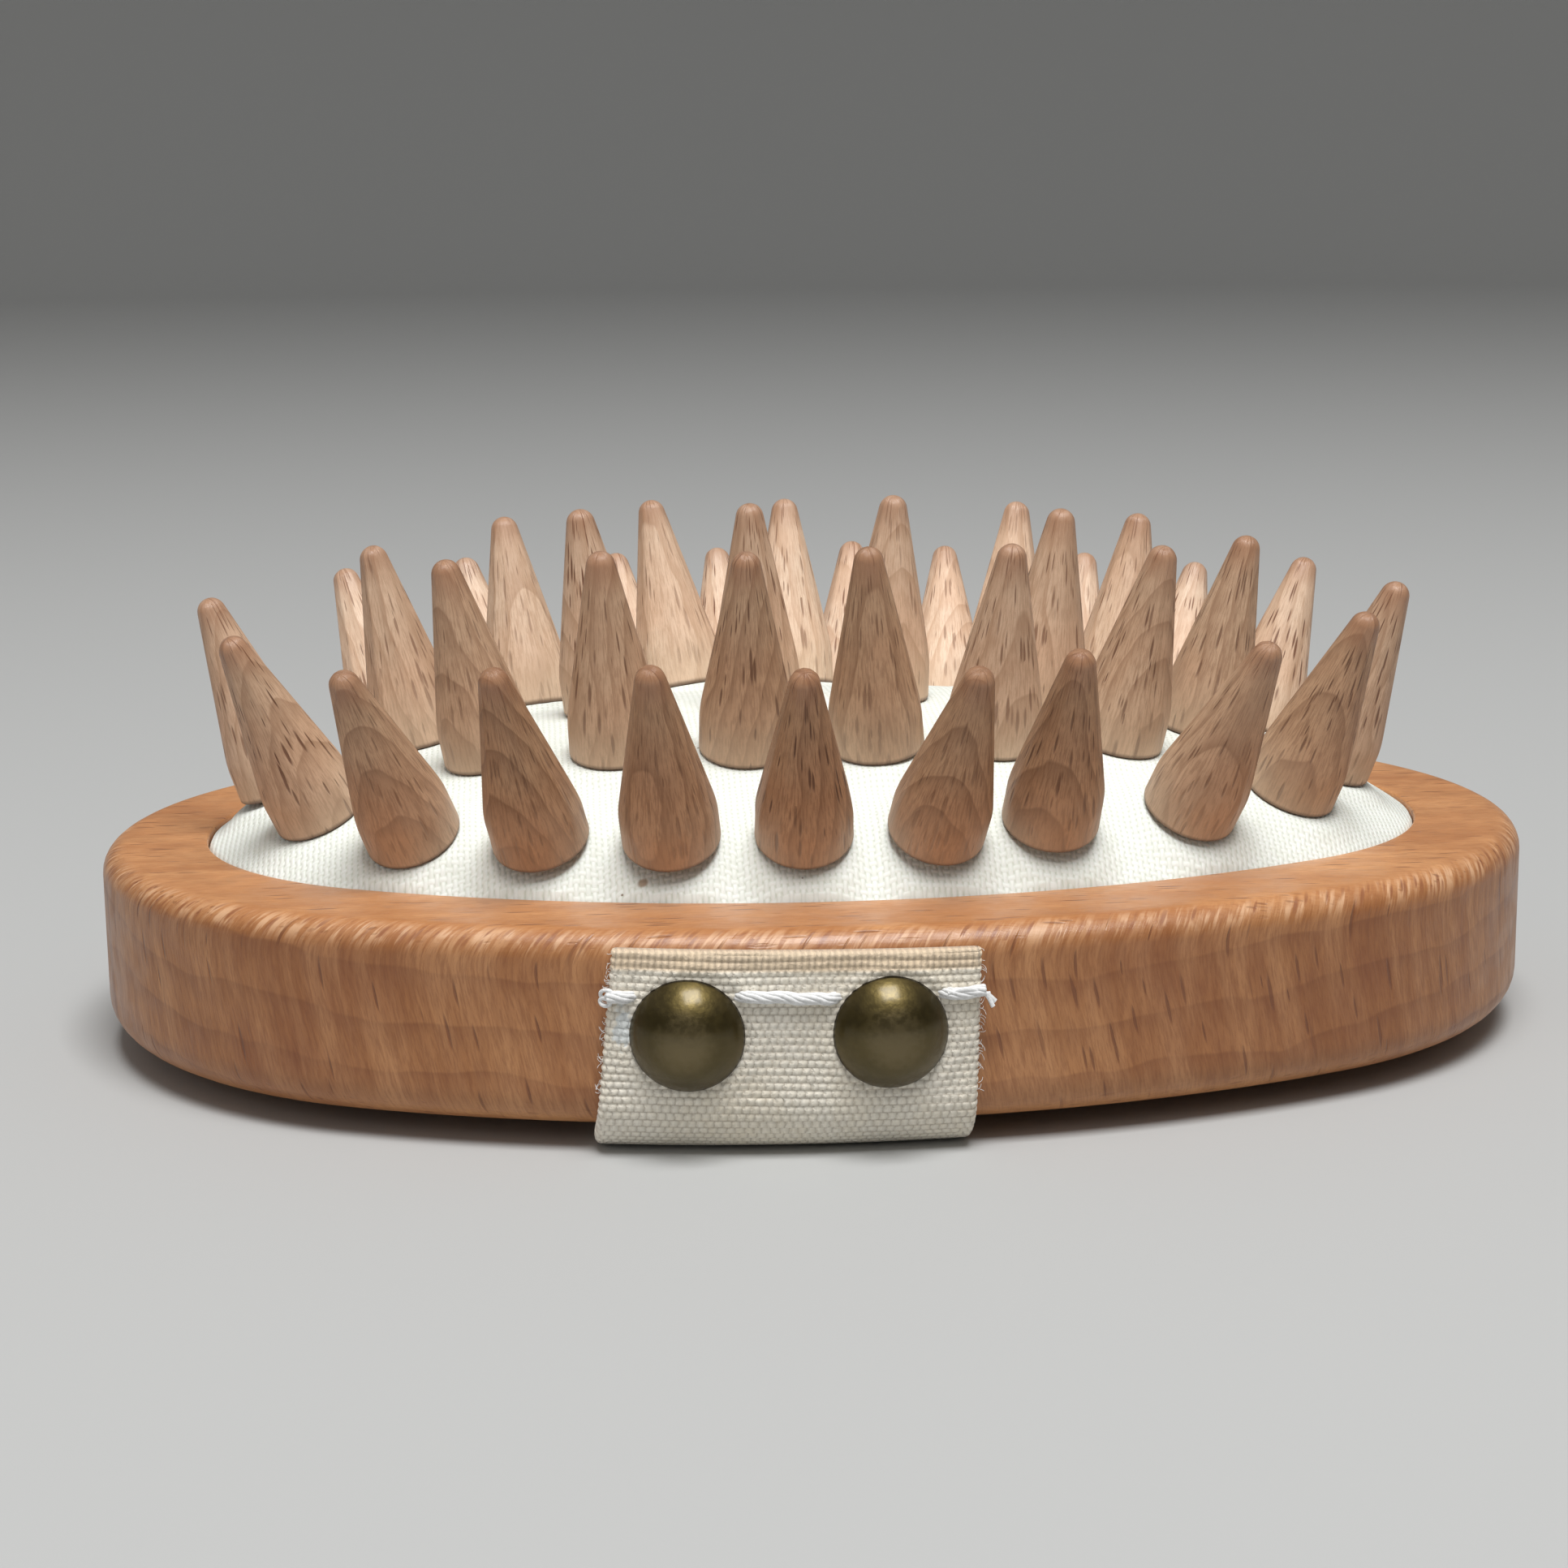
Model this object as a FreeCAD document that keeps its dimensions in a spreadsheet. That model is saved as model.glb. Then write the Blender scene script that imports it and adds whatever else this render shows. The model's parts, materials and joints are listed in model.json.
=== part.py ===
import FreeCAD, Part
import math
import os
import re

import Sketcher

# A wooden-pin brush for dry massage, lying on its back with its pins up.
# X runs along the oval body, Y across it and Z up. The origin is on the table,
# under the middle of the body. Lengths are millimetres, angles are degrees.

V = FreeCAD.Vector

SIZES = [
    # the beech block
    ("body_length", 135.0),
    ("body_width", 90.6),
    ("body_height", 17.0),
    ("body_end_radius", 39.5),
    ("body_top_round", 2.3),
    ("body_base_round", 3.4),
    # the walls left round the routed cavity, and the groove that grips the cushion
    ("rim_end", 9.7),
    ("rim_side", 11.0),
    ("opening_end_step", 12.5),
    ("cavity_depth", 10.5),
    ("groove_drop", 3.4),
    ("groove_height", 2.2),
    ("groove_reach", 2.0),
    ("groove_slack", 0.1),
    # the cushion: a canvas cover over an air-tight rubber skin
    ("dome_height", 11.8),
    ("dome_edge", 0.93),
    ("canvas_thickness", 0.6),
    ("rubber_thickness", 1.5),
    ("cushion_slack", 0.1),
    # the turned pins
    ("pin_length", 19.2),
    ("pin_radius", 4.3),
    ("pin_straight", 3.8),
    ("pin_tip_radius", 1.35),
    ("pin_edge_round", 0.35),
    ("pin_seat_gap", 0.2),
    ("neck_radius", 1.6),
    ("neck_play", 0.05),
    ("foot_radius", 3.1),
    ("foot_height", 1.4),
    ("foot_gap", 0.8),
    # where the pins stand: an outer and a middle oval of pins, and a row along the middle
    ("outer_inset_end", 8.0),
    ("outer_inset_side", 5.0),
    ("ring_step_end", 12.8),
    ("ring_step_side", 12.0),
    # the webbing hand strap
    ("strap_width", 30.9),
    ("strap_thickness", 1.5),
    ("strap_offset", -6.9),
    ("strap_rise", 15.7),
    ("strap_gap", 0.4),
    ("strap_root_reach", 15.0),
    ("strap_split_gap", 0.3),
    # the domed tacks and the stitching that hold the strap's ends
    ("tack_head_radius", 4.75),
    ("tack_head_height", 2.9),
    ("tack_head_wall", 0.6),
    ("tack_spacing", 16.6),
    ("tack_rise", 8.9),
    ("tack_shank_radius", 0.8),
    ("tack_shank_length", 10.0),
    ("tack_point_length", 2.4),
    ("thread_radius", 0.35),
    ("thread_rise", 11.7),
    ("thread_overhang", 0.7),
]

# Each pin's place round its ring: the angle of the ellipse's parameter, and a share of the
# ring's half axes, because the pins are set by hand and stand a little in or out of line.
OUTER_PINS = [
    (-155, 1.02), (-136.5, 1.04), (-121, 1.03), (-107.5, 1.02), (-94.5, 1.0),
    (-81.5, 1.01), (-69, 1.0), (-52, 1.01), (-33.5, 1.01), (-15, 0.99),
    (24.5, 1.01), (43, 1.05), (55.5, 1.02), (70.5, 1.0), (82.5, 0.97),
    (97, 0.98), (108.5, 0.99), (127.5, 0.98), (144.5, 0.99), (-178, 1.01),
]
MIDDLE_PINS = [
    (-143, 1.04), (-122, 0.99), (-102.5, 0.98), (-84, 1.01), (-66.5, 0.99),
    (-46.5, 1.04), (-16, 1.02), (40, 1.1), (57, 1.02), (91, 1.02),
    (108.5, 0.99), (135, 1.03), (178, 1.01),
]
# Each core pin's place as a share of the middle oval's two half axes.
CORE_PINS = [(-0.53, -0.05), (-0.16, -0.26), (0.17, -0.13), (0.56, -0.26)]
# The pins are snapped in by hand, so some lean a little more along X or Y than the cushion does.
EXTRA_LEANS = {
    "outer_01": (-0.04, 0.01),
    "outer_02": (-0.01, -0.04),
    "outer_03": (-0.01, 0.07),
    "outer_04": (0.00, 0.09),
    "outer_05": (-0.02, 0.00),
    "outer_06": (0.09, 0.00),
    "outer_07": (-0.09, 0.02),
    "outer_08": (0.06, -0.01),
    "outer_09": (-0.03, 0.02),
    "outer_10": (-0.05, -0.02),
    "outer_14": (-0.05, 0.00),
    "outer_15": (0.05, 0.00),
    "outer_20": (0.06, 0.01),
    "middle_01": (-0.02, 0.02),
    "middle_02": (0.04, 0.01),
    "middle_03": (0.03, -0.05),
    "middle_04": (-0.09, 0.01),
    "middle_05": (-0.02, 0.01),
    "middle_06": (0.04, 0.01),
    "middle_11": (-0.09, -0.02),
    "middle_12": (0.03, 0.04),
    "core_01": (-0.03, 0.00),
    "core_03": (0.02, -0.02),
}

doc = FreeCAD.newDocument("massage_brush")
sheet = doc.addObject("Spreadsheet::Sheet", "Sizes")
for row, (alias, value) in enumerate(SIZES, start=1):
    sheet.set(f"A{row}", alias)
    sheet.set(f"B{row}", str(value))
    sheet.setAlias(f"B{row}", alias)
doc.recompute()
CELLS = {alias: f"Sizes.{alias}" for alias, _ in SIZES}


def bind(text):
    """An expression in which every driving dimension's name has become its cell in the sheet."""
    return re.sub(r"[a-z_]+[a-z]", lambda word: CELLS.get(word.group(), word.group()), text)


def number(text):
    """What an expression in the driving dimensions comes to."""
    value = sheet.evalExpression(bind(text))
    return float(getattr(value, "Value", value))


# Expressions that several pieces share.
BODY_A = "(body_length / 2)"
BODY_B = "(body_width / 2)"
OPEN_A = "(body_length / 2 - rim_end)"
OPEN_B = "(body_width / 2 - rim_side)"
OPEN_END = "(body_end_radius - opening_end_step)"
LIFT = "(strap_thickness + strap_gap)"
TOP = "(strap_thickness + strap_gap + body_height)"
GROOVE_TOP = f"({TOP} - groove_drop)"
GROOVE_FLOOR = f"({TOP} - groove_drop - groove_height)"
EDGE_COSINE = "sqrt(1 - dome_edge ^ 2)"
DOME_Z = f"(dome_height / (1 - {EDGE_COSINE}))"
DOME_X = f"({OPEN_A} / dome_edge)"
DOME_Y = f"({OPEN_B} / dome_edge)"
DOME_CENTRE = f"({TOP} - {DOME_Z} * {EDGE_COSINE})"
SKIN = "(canvas_thickness + rubber_thickness)"
NECK = f"(pin_seat_gap + {SKIN} + foot_gap)"


def side_radius_text(a, b, end):
    """The long arcs' radius in an oval of half axes a and b whose end arcs have radius end."""
    return f"((({a} - {end}) ^ 2 + {b} ^ 2 - {end} ^ 2) / (2 * ({b} - {end})))"


SIDE_RADIUS = side_radius_text(BODY_A, BODY_B, "body_end_radius")


def new_body(name):
    body = doc.addObject("PartDesign::Body", name)
    body.Label = name
    return body


def sketch_on(body, name, role, height="0"):
    """A sketch on one of the body's own origin planes, raised by an expression."""
    sketch = body.newObject("Sketcher::SketchObject", name)
    planes = [feature for feature in body.Origin.OriginFeatures if feature.Role == role]
    sketch.AttachmentSupport = [(planes[0], "")]
    sketch.MapMode = "FlatFace"
    sketch.setExpression("AttachmentOffset.Base.z", bind(height))
    return sketch


def driven(sketch, name, text, kind, *places):
    """A constraint whose size is an expression."""
    index = sketch.addConstraint(Sketcher.Constraint(kind, *places, number(text)))
    sketch.renameConstraint(index, name)
    sketch.setExpression(f"Constraints.{name}", bind(text))


def fixed(sketch, kind, *places):
    sketch.addConstraint(Sketcher.Constraint(kind, *places))


def draw_oval(sketch, a, b, end):
    """Four tangent arcs: one round each end and one along each side."""
    side = side_radius_text(a, b, end)
    reach = number(f"{a} - {end}")
    drop = number(f"{side} - {b}")
    turn = math.atan2(drop, reach)
    arcs = [
        (V(reach, 0, 0), end, -turn, turn),
        (V(0, -drop, 0), side, turn, math.pi - turn),
        (V(-reach, 0, 0), end, math.pi - turn, math.pi + turn),
        (V(0, drop, 0), side, math.pi + turn, 2 * math.pi - turn),
    ]
    for centre, radius, start, stop in arcs:
        circle = Part.Circle(centre, V(0, 0, 1), number(radius))
        sketch.addGeometry(Part.ArcOfCircle(circle, start, stop), False)
    for arc in range(4):
        fixed(sketch, "Tangent", arc, 2, (arc + 1) % 4, 1)
    fixed(sketch, "PointOnObject", 0, 3, -1)
    fixed(sketch, "PointOnObject", 2, 3, -1)
    fixed(sketch, "Equal", 0, 2)
    fixed(sketch, "Equal", 1, 3)
    driven(sketch, "end_radius", end, "Radius", 0)
    driven(sketch, "side_radius", side, "Radius", 1)
    driven(sketch, "reach_right", f"{a} - {end}", "DistanceX", -1, 1, 0, 3)
    driven(sketch, "reach_left", f"{a} - {end}", "DistanceX", 2, 3, -1, 1)


def oval_block(name, grow, base, height, outline=(BODY_A, BODY_B, "body_end_radius")):
    """An upright block on an oval that is the outline grown by an expression all round."""
    body = new_body(name)
    sketch = sketch_on(body, f"{name}_outline", "XY_Plane", base)
    draw_oval(sketch, *(f"({text} + {grow})" for text in outline))
    pad = body.newObject("PartDesign::Pad", f"{name}_pad")
    pad.Profile = sketch
    pad.setExpression("Length", bind(height))
    doc.recompute()
    return body, pad


def oval_pocket(body, name, grow, from_height, depth):
    """Cut downwards from a height, over the cushion's opening grown all round."""
    before = body.Shape.Volume
    sketch = sketch_on(body, f"{name}_outline", "XY_Plane", from_height)
    draw_oval(sketch, *(f"({text} + {grow})" for text in OPENING))
    pocket = body.newObject("PartDesign::Pocket", name)
    pocket.Profile = sketch
    pocket.setExpression("Length", bind(depth))
    doc.recompute()
    if body.Shape.Volume >= before - 1:
        raise ValueError(f"{name} cut nothing")


def round_rim(body, base, name, height, radius):
    """Round the edges that lie at a height."""
    level = number(height)
    edges = []
    for index, edge in enumerate(base.Shape.Edges, start=1):
        if all(abs(vertex.Z - level) < 1e-6 for vertex in edge.Vertexes):
            edges.append(f"Edge{index}")
    fillet = body.newObject("PartDesign::Fillet", name)
    fillet.Base = (base, edges)
    fillet.setExpression("Radius", bind(radius))
    doc.recompute()
    return fillet


def primitive(kind, name, **sizes):
    """A Part primitive whose sizes are expressions."""
    thing = doc.addObject(f"Part::{kind}", name)
    for key, text in sizes.items():
        thing.setExpression(key, bind(text))
    return thing


def combine(kind, name, base, tool):
    thing = doc.addObject(f"Part::{kind}", name)
    thing.Base = base
    thing.Tool = tool
    thing.Label = name
    return thing


def group(name, members):
    thing = doc.addObject("Part::Compound", name)
    thing.Links = members
    return thing


def pointing(direction):
    """The turn that carries +Z to a direction."""
    return FreeCAD.Rotation(V(0, 0, 1), direction)


def clone(name, pattern, placement):
    """Another piece of the same make as a pattern body."""
    body = new_body(name)
    base = body.newObject("PartDesign::FeatureBase", f"{name}_base")
    base.BaseFeature = pattern
    body.Tip = base
    body.Placement = placement
    return body


OPENING = (OPEN_A, OPEN_B, OPEN_END)
nodes = []


# The block: an oval with rounded rims, routed out for the cushion's air space, with a
# groove under the rim that grips the cushion's flange.
def build_block():
    body, pad = oval_block("block", "0", LIFT, "body_height")
    topped = round_rim(body, pad, "block_top_round", TOP, "body_top_round")
    round_rim(body, topped, "block_base_round", LIFT, "body_base_round")
    oval_pocket(body, "cavity", "0", TOP, "cavity_depth")
    oval_pocket(body, "groove", "groove_reach", GROOVE_TOP, "groove_height")
    return body


# The cushion's two skins share one shape: a cap of an ellipsoid inside the opening, with a
# skirt that goes down the opening's wall.
def domed_plug(name, inward, skin, base):
    plug_height = f"{TOP} + dome_height - {base} + 1"
    plug, _ = oval_block(f"{name}_plug", f"(0 - {inward})", base, plug_height, OPENING)
    dome = primitive(
        "Ellipsoid",
        f"{name}_dome",
        Radius1=f"{DOME_Z} - {skin}",
        Radius2=f"{DOME_X} - {skin}",
        Radius3=f"{DOME_Y} - {skin}",
    )
    dome.Angle1 = -90
    dome.Angle2 = 90
    dome.Placement.Base = V(0, 0, number(DOME_CENTRE))
    return combine("Common", f"{name}_cap", plug, dome)


def build_cushion(holes):
    below = f"({GROOVE_FLOOR} - 0.8)"
    cover_outside = domed_plug("cover_outside", "cushion_slack", "0", GROOVE_TOP)
    cover_inside = domed_plug("cover_inside", "(cushion_slack + canvas_thickness)", "canvas_thickness", below)
    cover = combine("Cut", "cushion_cover_blank", cover_outside, cover_inside)

    flange_base = f"({GROOVE_FLOOR} + groove_slack)"
    slack = "(cushion_slack + canvas_thickness)"
    skin_outside = domed_plug("skin_outside", slack, "canvas_thickness", flange_base)
    skin_inside = domed_plug("skin_inside", f"(cushion_slack + {SKIN})", SKIN, below)
    flange, _ = oval_block(
        "flange", "groove_reach - groove_slack", flange_base, "groove_height - 2 * groove_slack", OPENING
    )
    flanged = combine("Fuse", "flanged_skin", skin_outside, flange)
    skin = combine("Cut", "cushion_rubber_blank", flanged, skin_inside)
    nodes.append(combine("Cut", "cushion_cover", cover, holes))
    nodes.append(combine("Cut", "cushion_rubber", skin, holes))


# One turned pin: a mushroom foot behind the rubber, a neck through both skins, a short
# straight base and a long taper to a ball tip. Its base is at the local origin.
def build_pin_pattern():
    body = new_body("pin_pattern")
    sketch = sketch_on(body, "pin_profile", "XZ_Plane")
    radii = ("foot_radius", "neck_radius", "pin_radius", "pin_edge_round")
    foot, neck, radius, edge = (number(text) for text in radii)
    neck_base = -number(NECK)
    foot_base = neck_base - number("foot_height")
    straight = number("pin_straight")
    tip = number("pin_tip_radius")
    tip_centre = number("pin_length") - tip
    run = math.hypot(radius, tip_centre - straight)
    lean = math.acos(tip / run) - math.atan2(tip_centre - straight, radius)
    touch = V(tip * math.cos(lean), tip_centre + tip * math.sin(lean), 0)
    corners = [
        V(0, foot_base, 0),
        V(foot, foot_base, 0),
        V(foot, neck_base, 0),
        V(neck, neck_base, 0),
        V(neck, 0, 0),
        V(radius - edge, 0, 0),
    ]
    for start, stop in zip(corners, corners[1:]):
        sketch.addGeometry(Part.LineSegment(start, stop), False)
    edge_circle = Part.Circle(V(radius - edge, edge, 0), V(0, 0, 1), edge)
    sketch.addGeometry(Part.ArcOfCircle(edge_circle, -math.pi / 2, 0), False)
    sketch.addGeometry(Part.LineSegment(V(radius, edge, 0), V(radius, straight, 0)), False)
    sketch.addGeometry(Part.LineSegment(V(radius, straight, 0), touch), False)
    tip_circle = Part.Circle(V(0, tip_centre, 0), V(0, 0, 1), tip)
    sketch.addGeometry(Part.ArcOfCircle(tip_circle, lean, math.pi / 2), False)
    sketch.addGeometry(Part.LineSegment(V(0, tip_centre + tip, 0), corners[0]), False)
    for line in (0, 1, 2, 3, 6, 9):
        fixed(sketch, "Coincident", line, 2, (line + 1) % 10, 1)
    fixed(sketch, "Tangent", 4, 2, 5, 1)
    fixed(sketch, "Tangent", 5, 2, 6, 1)
    fixed(sketch, "Tangent", 7, 2, 8, 1)
    fixed(sketch, "Coincident", 8, 2, 9, 1)
    for line in (0, 2, 4):
        fixed(sketch, "Horizontal", line)
    for line in (1, 3, 6, 9):
        fixed(sketch, "Vertical", line)
    fixed(sketch, "PointOnObject", 9, 1, -2)
    fixed(sketch, "PointOnObject", 8, 3, -2)
    fixed(sketch, "PointOnObject", 4, 1, -1)
    driven(sketch, "foot_radius", "foot_radius", "DistanceX", -1, 1, 1, 1)
    driven(sketch, "neck_radius", "neck_radius", "DistanceX", -1, 1, 3, 1)
    driven(sketch, "pin_radius", "pin_radius", "DistanceX", -1, 1, 6, 1)
    driven(sketch, "edge_round", "pin_edge_round", "Radius", 5)
    driven(sketch, "foot_base", f"{NECK} + foot_height", "DistanceY", 0, 1, -1, 1)
    driven(sketch, "neck_base", NECK, "DistanceY", 3, 1, -1, 1)
    driven(sketch, "straight", "pin_straight", "DistanceY", -1, 1, 6, 2)
    driven(sketch, "tip_radius", "pin_tip_radius", "Radius", 8)
    driven(sketch, "tip_centre", "pin_length - pin_tip_radius", "DistanceY", -1, 1, 8, 3)
    turned = body.newObject("PartDesign::Revolution", "pin_turned")
    turned.Profile = sketch
    turned.ReferenceAxis = (sketch, ["V_Axis"])
    turned.Angle = 360
    doc.recompute()
    return body


def pin_places():
    """Each pin's name with the place of its middle in plan."""
    outer_a = number(f"{OPEN_A} - outer_inset_end")
    outer_b = number(f"{OPEN_B} - outer_inset_side")
    middle_a = outer_a - number("ring_step_end")
    middle_b = outer_b - number("ring_step_side")
    for ring, places, a, b in (
        ("outer", OUTER_PINS, outer_a, outer_b),
        ("middle", MIDDLE_PINS, middle_a, middle_b),
    ):
        for index, (angle, share) in enumerate(places, start=1):
            turn = math.radians(angle)
            yield f"{ring}_{index:02d}", a * share * math.cos(turn), b * share * math.sin(turn)
    for index, (share_a, share_b) in enumerate(CORE_PINS, start=1):
        yield f"core_{index:02d}", middle_a * share_a, middle_b * share_b


def pin_placement(name, x, y):
    """A pin stands square to the dome at its foot, but for its own extra lean."""
    dome_x, dome_y, dome_z = number(DOME_X), number(DOME_Y), number(DOME_Z)
    rise = math.sqrt(1 - (x / dome_x) ** 2 - (y / dome_y) ** 2)
    surface = V(x, y, number(DOME_CENTRE) + dome_z * rise)
    lean_x, lean_y = EXTRA_LEANS.get(name, (0.0, 0.0))
    slope_x = dome_z * x / (dome_x ** 2 * rise) + lean_x
    slope_y = dome_z * y / (dome_y ** 2 * rise) + lean_y
    axis = V(slope_x, slope_y, 1).normalize()
    clearance = math.hypot(lean_x, lean_y) * number("pin_radius") + number("pin_seat_gap")
    return FreeCAD.Placement(surface + axis * clearance, pointing(axis))


def build_pins():
    """The pins, and the holes through the cushion that their necks pass."""
    pattern = build_pin_pattern()
    holes = []
    for name, x, y in pin_places():
        placement = pin_placement(name, x, y)
        nodes.append(clone(f"pin_{name}", pattern, placement))
        hole = primitive(
            "Cylinder", f"hole_{name}", Radius="neck_radius + neck_play", Height=f"2 * {NECK}"
        )
        down = FreeCAD.Placement(V(0, 0, -1.5 * number(NECK)), FreeCAD.Rotation())
        hole.Placement = placement.multiply(down)
        holes.append(hole)
    return group("neck_holes", holes)


# One domed tack: a hollow round head with its rim at the local origin's level, and a
# pointed shank going down from inside it.
def build_tack_pattern():
    body = new_body("tack_pattern")
    sketch = sketch_on(body, "tack_profile", "XZ_Plane")
    curve_text = "((tack_head_radius ^ 2 + tack_head_height ^ 2) / (2 * tack_head_height))"
    curve, wall, height = (number(text) for text in (curve_text, "tack_head_wall", "tack_head_height"))
    shank = number("tack_shank_radius")
    point = number("tack_point_length")
    length = number("tack_shank_length")
    centre = height - curve
    inner = curve - wall
    rim_turn = math.asin(-centre / curve)
    inner_turn = math.asin(-centre / inner)
    shank_turn = math.acos(shank / inner)
    middle = V(0, centre, 0)
    outer_circle = Part.Circle(middle, V(0, 0, 1), curve)
    inner_circle = Part.Circle(middle, V(0, 0, 1), inner)
    shank_top = V(shank, centre + inner * math.sin(shank_turn), 0)
    shank_base = V(shank, point - length, 0)
    rim = V(curve * math.cos(rim_turn), 0, 0)
    inner_rim = V(inner * math.cos(inner_turn), 0, 0)
    sketch.addGeometry(Part.ArcOfCircle(outer_circle, rim_turn, math.pi / 2), False)
    sketch.addGeometry(Part.LineSegment(rim, inner_rim), False)
    sketch.addGeometry(Part.ArcOfCircle(inner_circle, inner_turn, shank_turn), False)
    sketch.addGeometry(Part.LineSegment(shank_top, shank_base), False)
    sketch.addGeometry(Part.LineSegment(shank_base, V(0, -length, 0)), False)
    sketch.addGeometry(Part.LineSegment(V(0, -length, 0), V(0, height, 0)), False)
    fixed(sketch, "Coincident", 0, 1, 1, 1)
    fixed(sketch, "Coincident", 1, 2, 2, 1)
    fixed(sketch, "Coincident", 2, 2, 3, 1)
    fixed(sketch, "Coincident", 3, 2, 4, 1)
    fixed(sketch, "Coincident", 4, 2, 5, 1)
    fixed(sketch, "Coincident", 5, 2, 0, 2)
    fixed(sketch, "Coincident", 2, 3, 0, 3)
    fixed(sketch, "PointOnObject", 0, 3, -2)
    fixed(sketch, "PointOnObject", 5, 1, -2)
    fixed(sketch, "PointOnObject", 5, 2, -2)
    fixed(sketch, "Horizontal", 1)
    fixed(sketch, "PointOnObject", 1, 1, -1)
    fixed(sketch, "Vertical", 3)
    driven(sketch, "head_curve", curve_text, "Radius", 0)
    driven(sketch, "head_inside", f"{curve_text} - tack_head_wall", "Radius", 2)
    driven(sketch, "head_centre", f"{curve_text} - tack_head_height", "DistanceY", 0, 3, -1, 1)
    driven(sketch, "shank_radius", "tack_shank_radius", "DistanceX", -1, 1, 3, 1)
    driven(sketch, "point_top", "tack_shank_length - tack_point_length", "DistanceY", 3, 2, -1, 1)
    driven(sketch, "shank_end", "tack_shank_length", "DistanceY", 5, 1, -1, 1)
    turned = body.newObject("PartDesign::Revolution", "tack_turned")
    turned.Profile = sketch
    turned.ReferenceAxis = (sketch, ["V_Axis"])
    turned.Angle = 360
    doc.recompute()
    return body


def build_tacks():
    """Two tacks through each end of the strap, and the holes that their shanks make."""
    pattern = build_tack_pattern()
    holes = []
    face = number(f"{SIDE_RADIUS} + strap_thickness")
    middle = number(f"{SIDE_RADIUS} - {BODY_B}")
    height = number(f"{LIFT} + tack_rise")
    for side, sign in (("near", -1), ("far", 1)):
        for hand, step in (("left", -0.5), ("right", 0.5)):
            x = number("strap_offset") + step * number("tack_spacing")
            outward = V(x / face, sign * math.sqrt(1 - (x / face) ** 2), 0)
            seat = V(0, -sign * middle, height) + outward * face
            placement = FreeCAD.Placement(seat, pointing(outward))
            nodes.append(clone(f"tack_{side}_{hand}", pattern, placement))
            hole = primitive(
                "Cylinder", f"tack_hole_{side}_{hand}", Radius="tack_shank_radius", Height="tack_shank_length"
            )
            down = FreeCAD.Placement(V(0, 0, -number("tack_shank_length")), FreeCAD.Rotation())
            hole.Placement = placement.multiply(down)
            holes.append(hole)
    return group("tack_holes", holes)


# The hand strap: webbing fixed down both sides of the body and passing under it. Each end
# follows the body's curve, so it is a slice of a shell round the block.
def build_strap(tack_holes):
    grown = "strap_thickness"
    outside, outside_pad = oval_block("strap_outside", grown, "0", f"{LIFT} + strap_rise")
    round_rim(outside, outside_pad, "strap_outside_round", "0", f"{LIFT} + body_base_round")
    inside, inside_pad = oval_block("strap_inside", "0", "strap_thickness", f"{TOP} + 1")
    round_rim(inside, inside_pad, "strap_inside_round", "strap_thickness", "strap_gap + body_base_round")
    shell = combine("Cut", "strap_shell", outside, inside)
    reach = f"({BODY_B} - strap_root_reach)"
    for side, start in (("near", f"0 - {reach} - {BODY_B}"), ("far", reach)):
        box = primitive("Box", f"strap_{side}_box", Length="strap_width", Width=BODY_B, Height=TOP)
        box.Placement.Base = V(number("strap_offset - strap_width / 2"), number(start), 0)
        slice_ = combine("Common", f"strap_{side}_slice", shell, box)
        nodes.append(combine("Cut", f"strap_{side}_end", slice_, tack_holes))
    span_half = f"({reach} - strap_split_gap)"
    span_width = f"2 * {span_half}"
    span = primitive(
        "Box", "strap_span", Length="strap_width", Width=span_width, Height="strap_thickness"
    )
    span.Placement.Base = V(number("strap_offset - strap_width / 2"), -number(span_half), 0)
    span.Label = "strap_span"
    nodes.append(span)


# A thick thread is stitched across each end of the strap, above the tacks' middles.
def build_stitches():
    ring_text = f"({SIDE_RADIUS} + strap_thickness + thread_radius)"
    ring = number(ring_text)
    half = number("strap_width / 2 + thread_overhang")
    start = math.degrees(math.asin((number("strap_offset") - half) / ring))
    stop = math.degrees(math.asin((number("strap_offset") + half) / ring))
    height = number(f"{LIFT} + thread_rise")
    middle = number(f"{SIDE_RADIUS} - {BODY_B}")
    for side, sign, first in (("near", -1, start - 90), ("far", 1, 90 - stop)):
        thread = primitive("Torus", f"stitch_{side}", Radius1=ring_text, Radius2="thread_radius")
        thread.Angle3 = stop - start
        turn = FreeCAD.Rotation(V(0, 0, 1), first)
        thread.Placement = FreeCAD.Placement(V(0, -sign * middle, height), turn)
        thread.Label = f"stitch_{side}"
        nodes.append(thread)


def check_and_write():
    """Stop on any failed object, then write each sub-part."""
    doc.recompute()
    for thing in doc.Objects:
        if "Invalid" in thing.State or "Error" in thing.State:
            raise ValueError(f"{thing.Name} failed: {thing.State}")
    for node in nodes:
        if node.Shape.isNull() or not node.Shape.isValid():
            raise ValueError(f"{node.Label} has no valid shape")
    os.makedirs("parts", exist_ok=True)
    for node in nodes:
        node.Shape.exportStep(f"parts/{node.Label}.step")
    print(len(nodes), "sub-parts written")


block = build_block()
neck_holes = build_pins()
build_cushion(neck_holes)
all_tack_holes = build_tacks()
nodes.append(combine("Cut", "wooden_body", block, all_tack_holes))
build_strap(all_tack_holes)
build_stitches()
check_and_write()
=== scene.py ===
# %% [markdown]
# A body dry brush: an oval beech block with a canvas cushion set into its top, wooden
# pins snapped through the cushion, and a webbing strap underneath for the hand. The
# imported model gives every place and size, so it is loaded first and kept as the frame.

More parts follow.
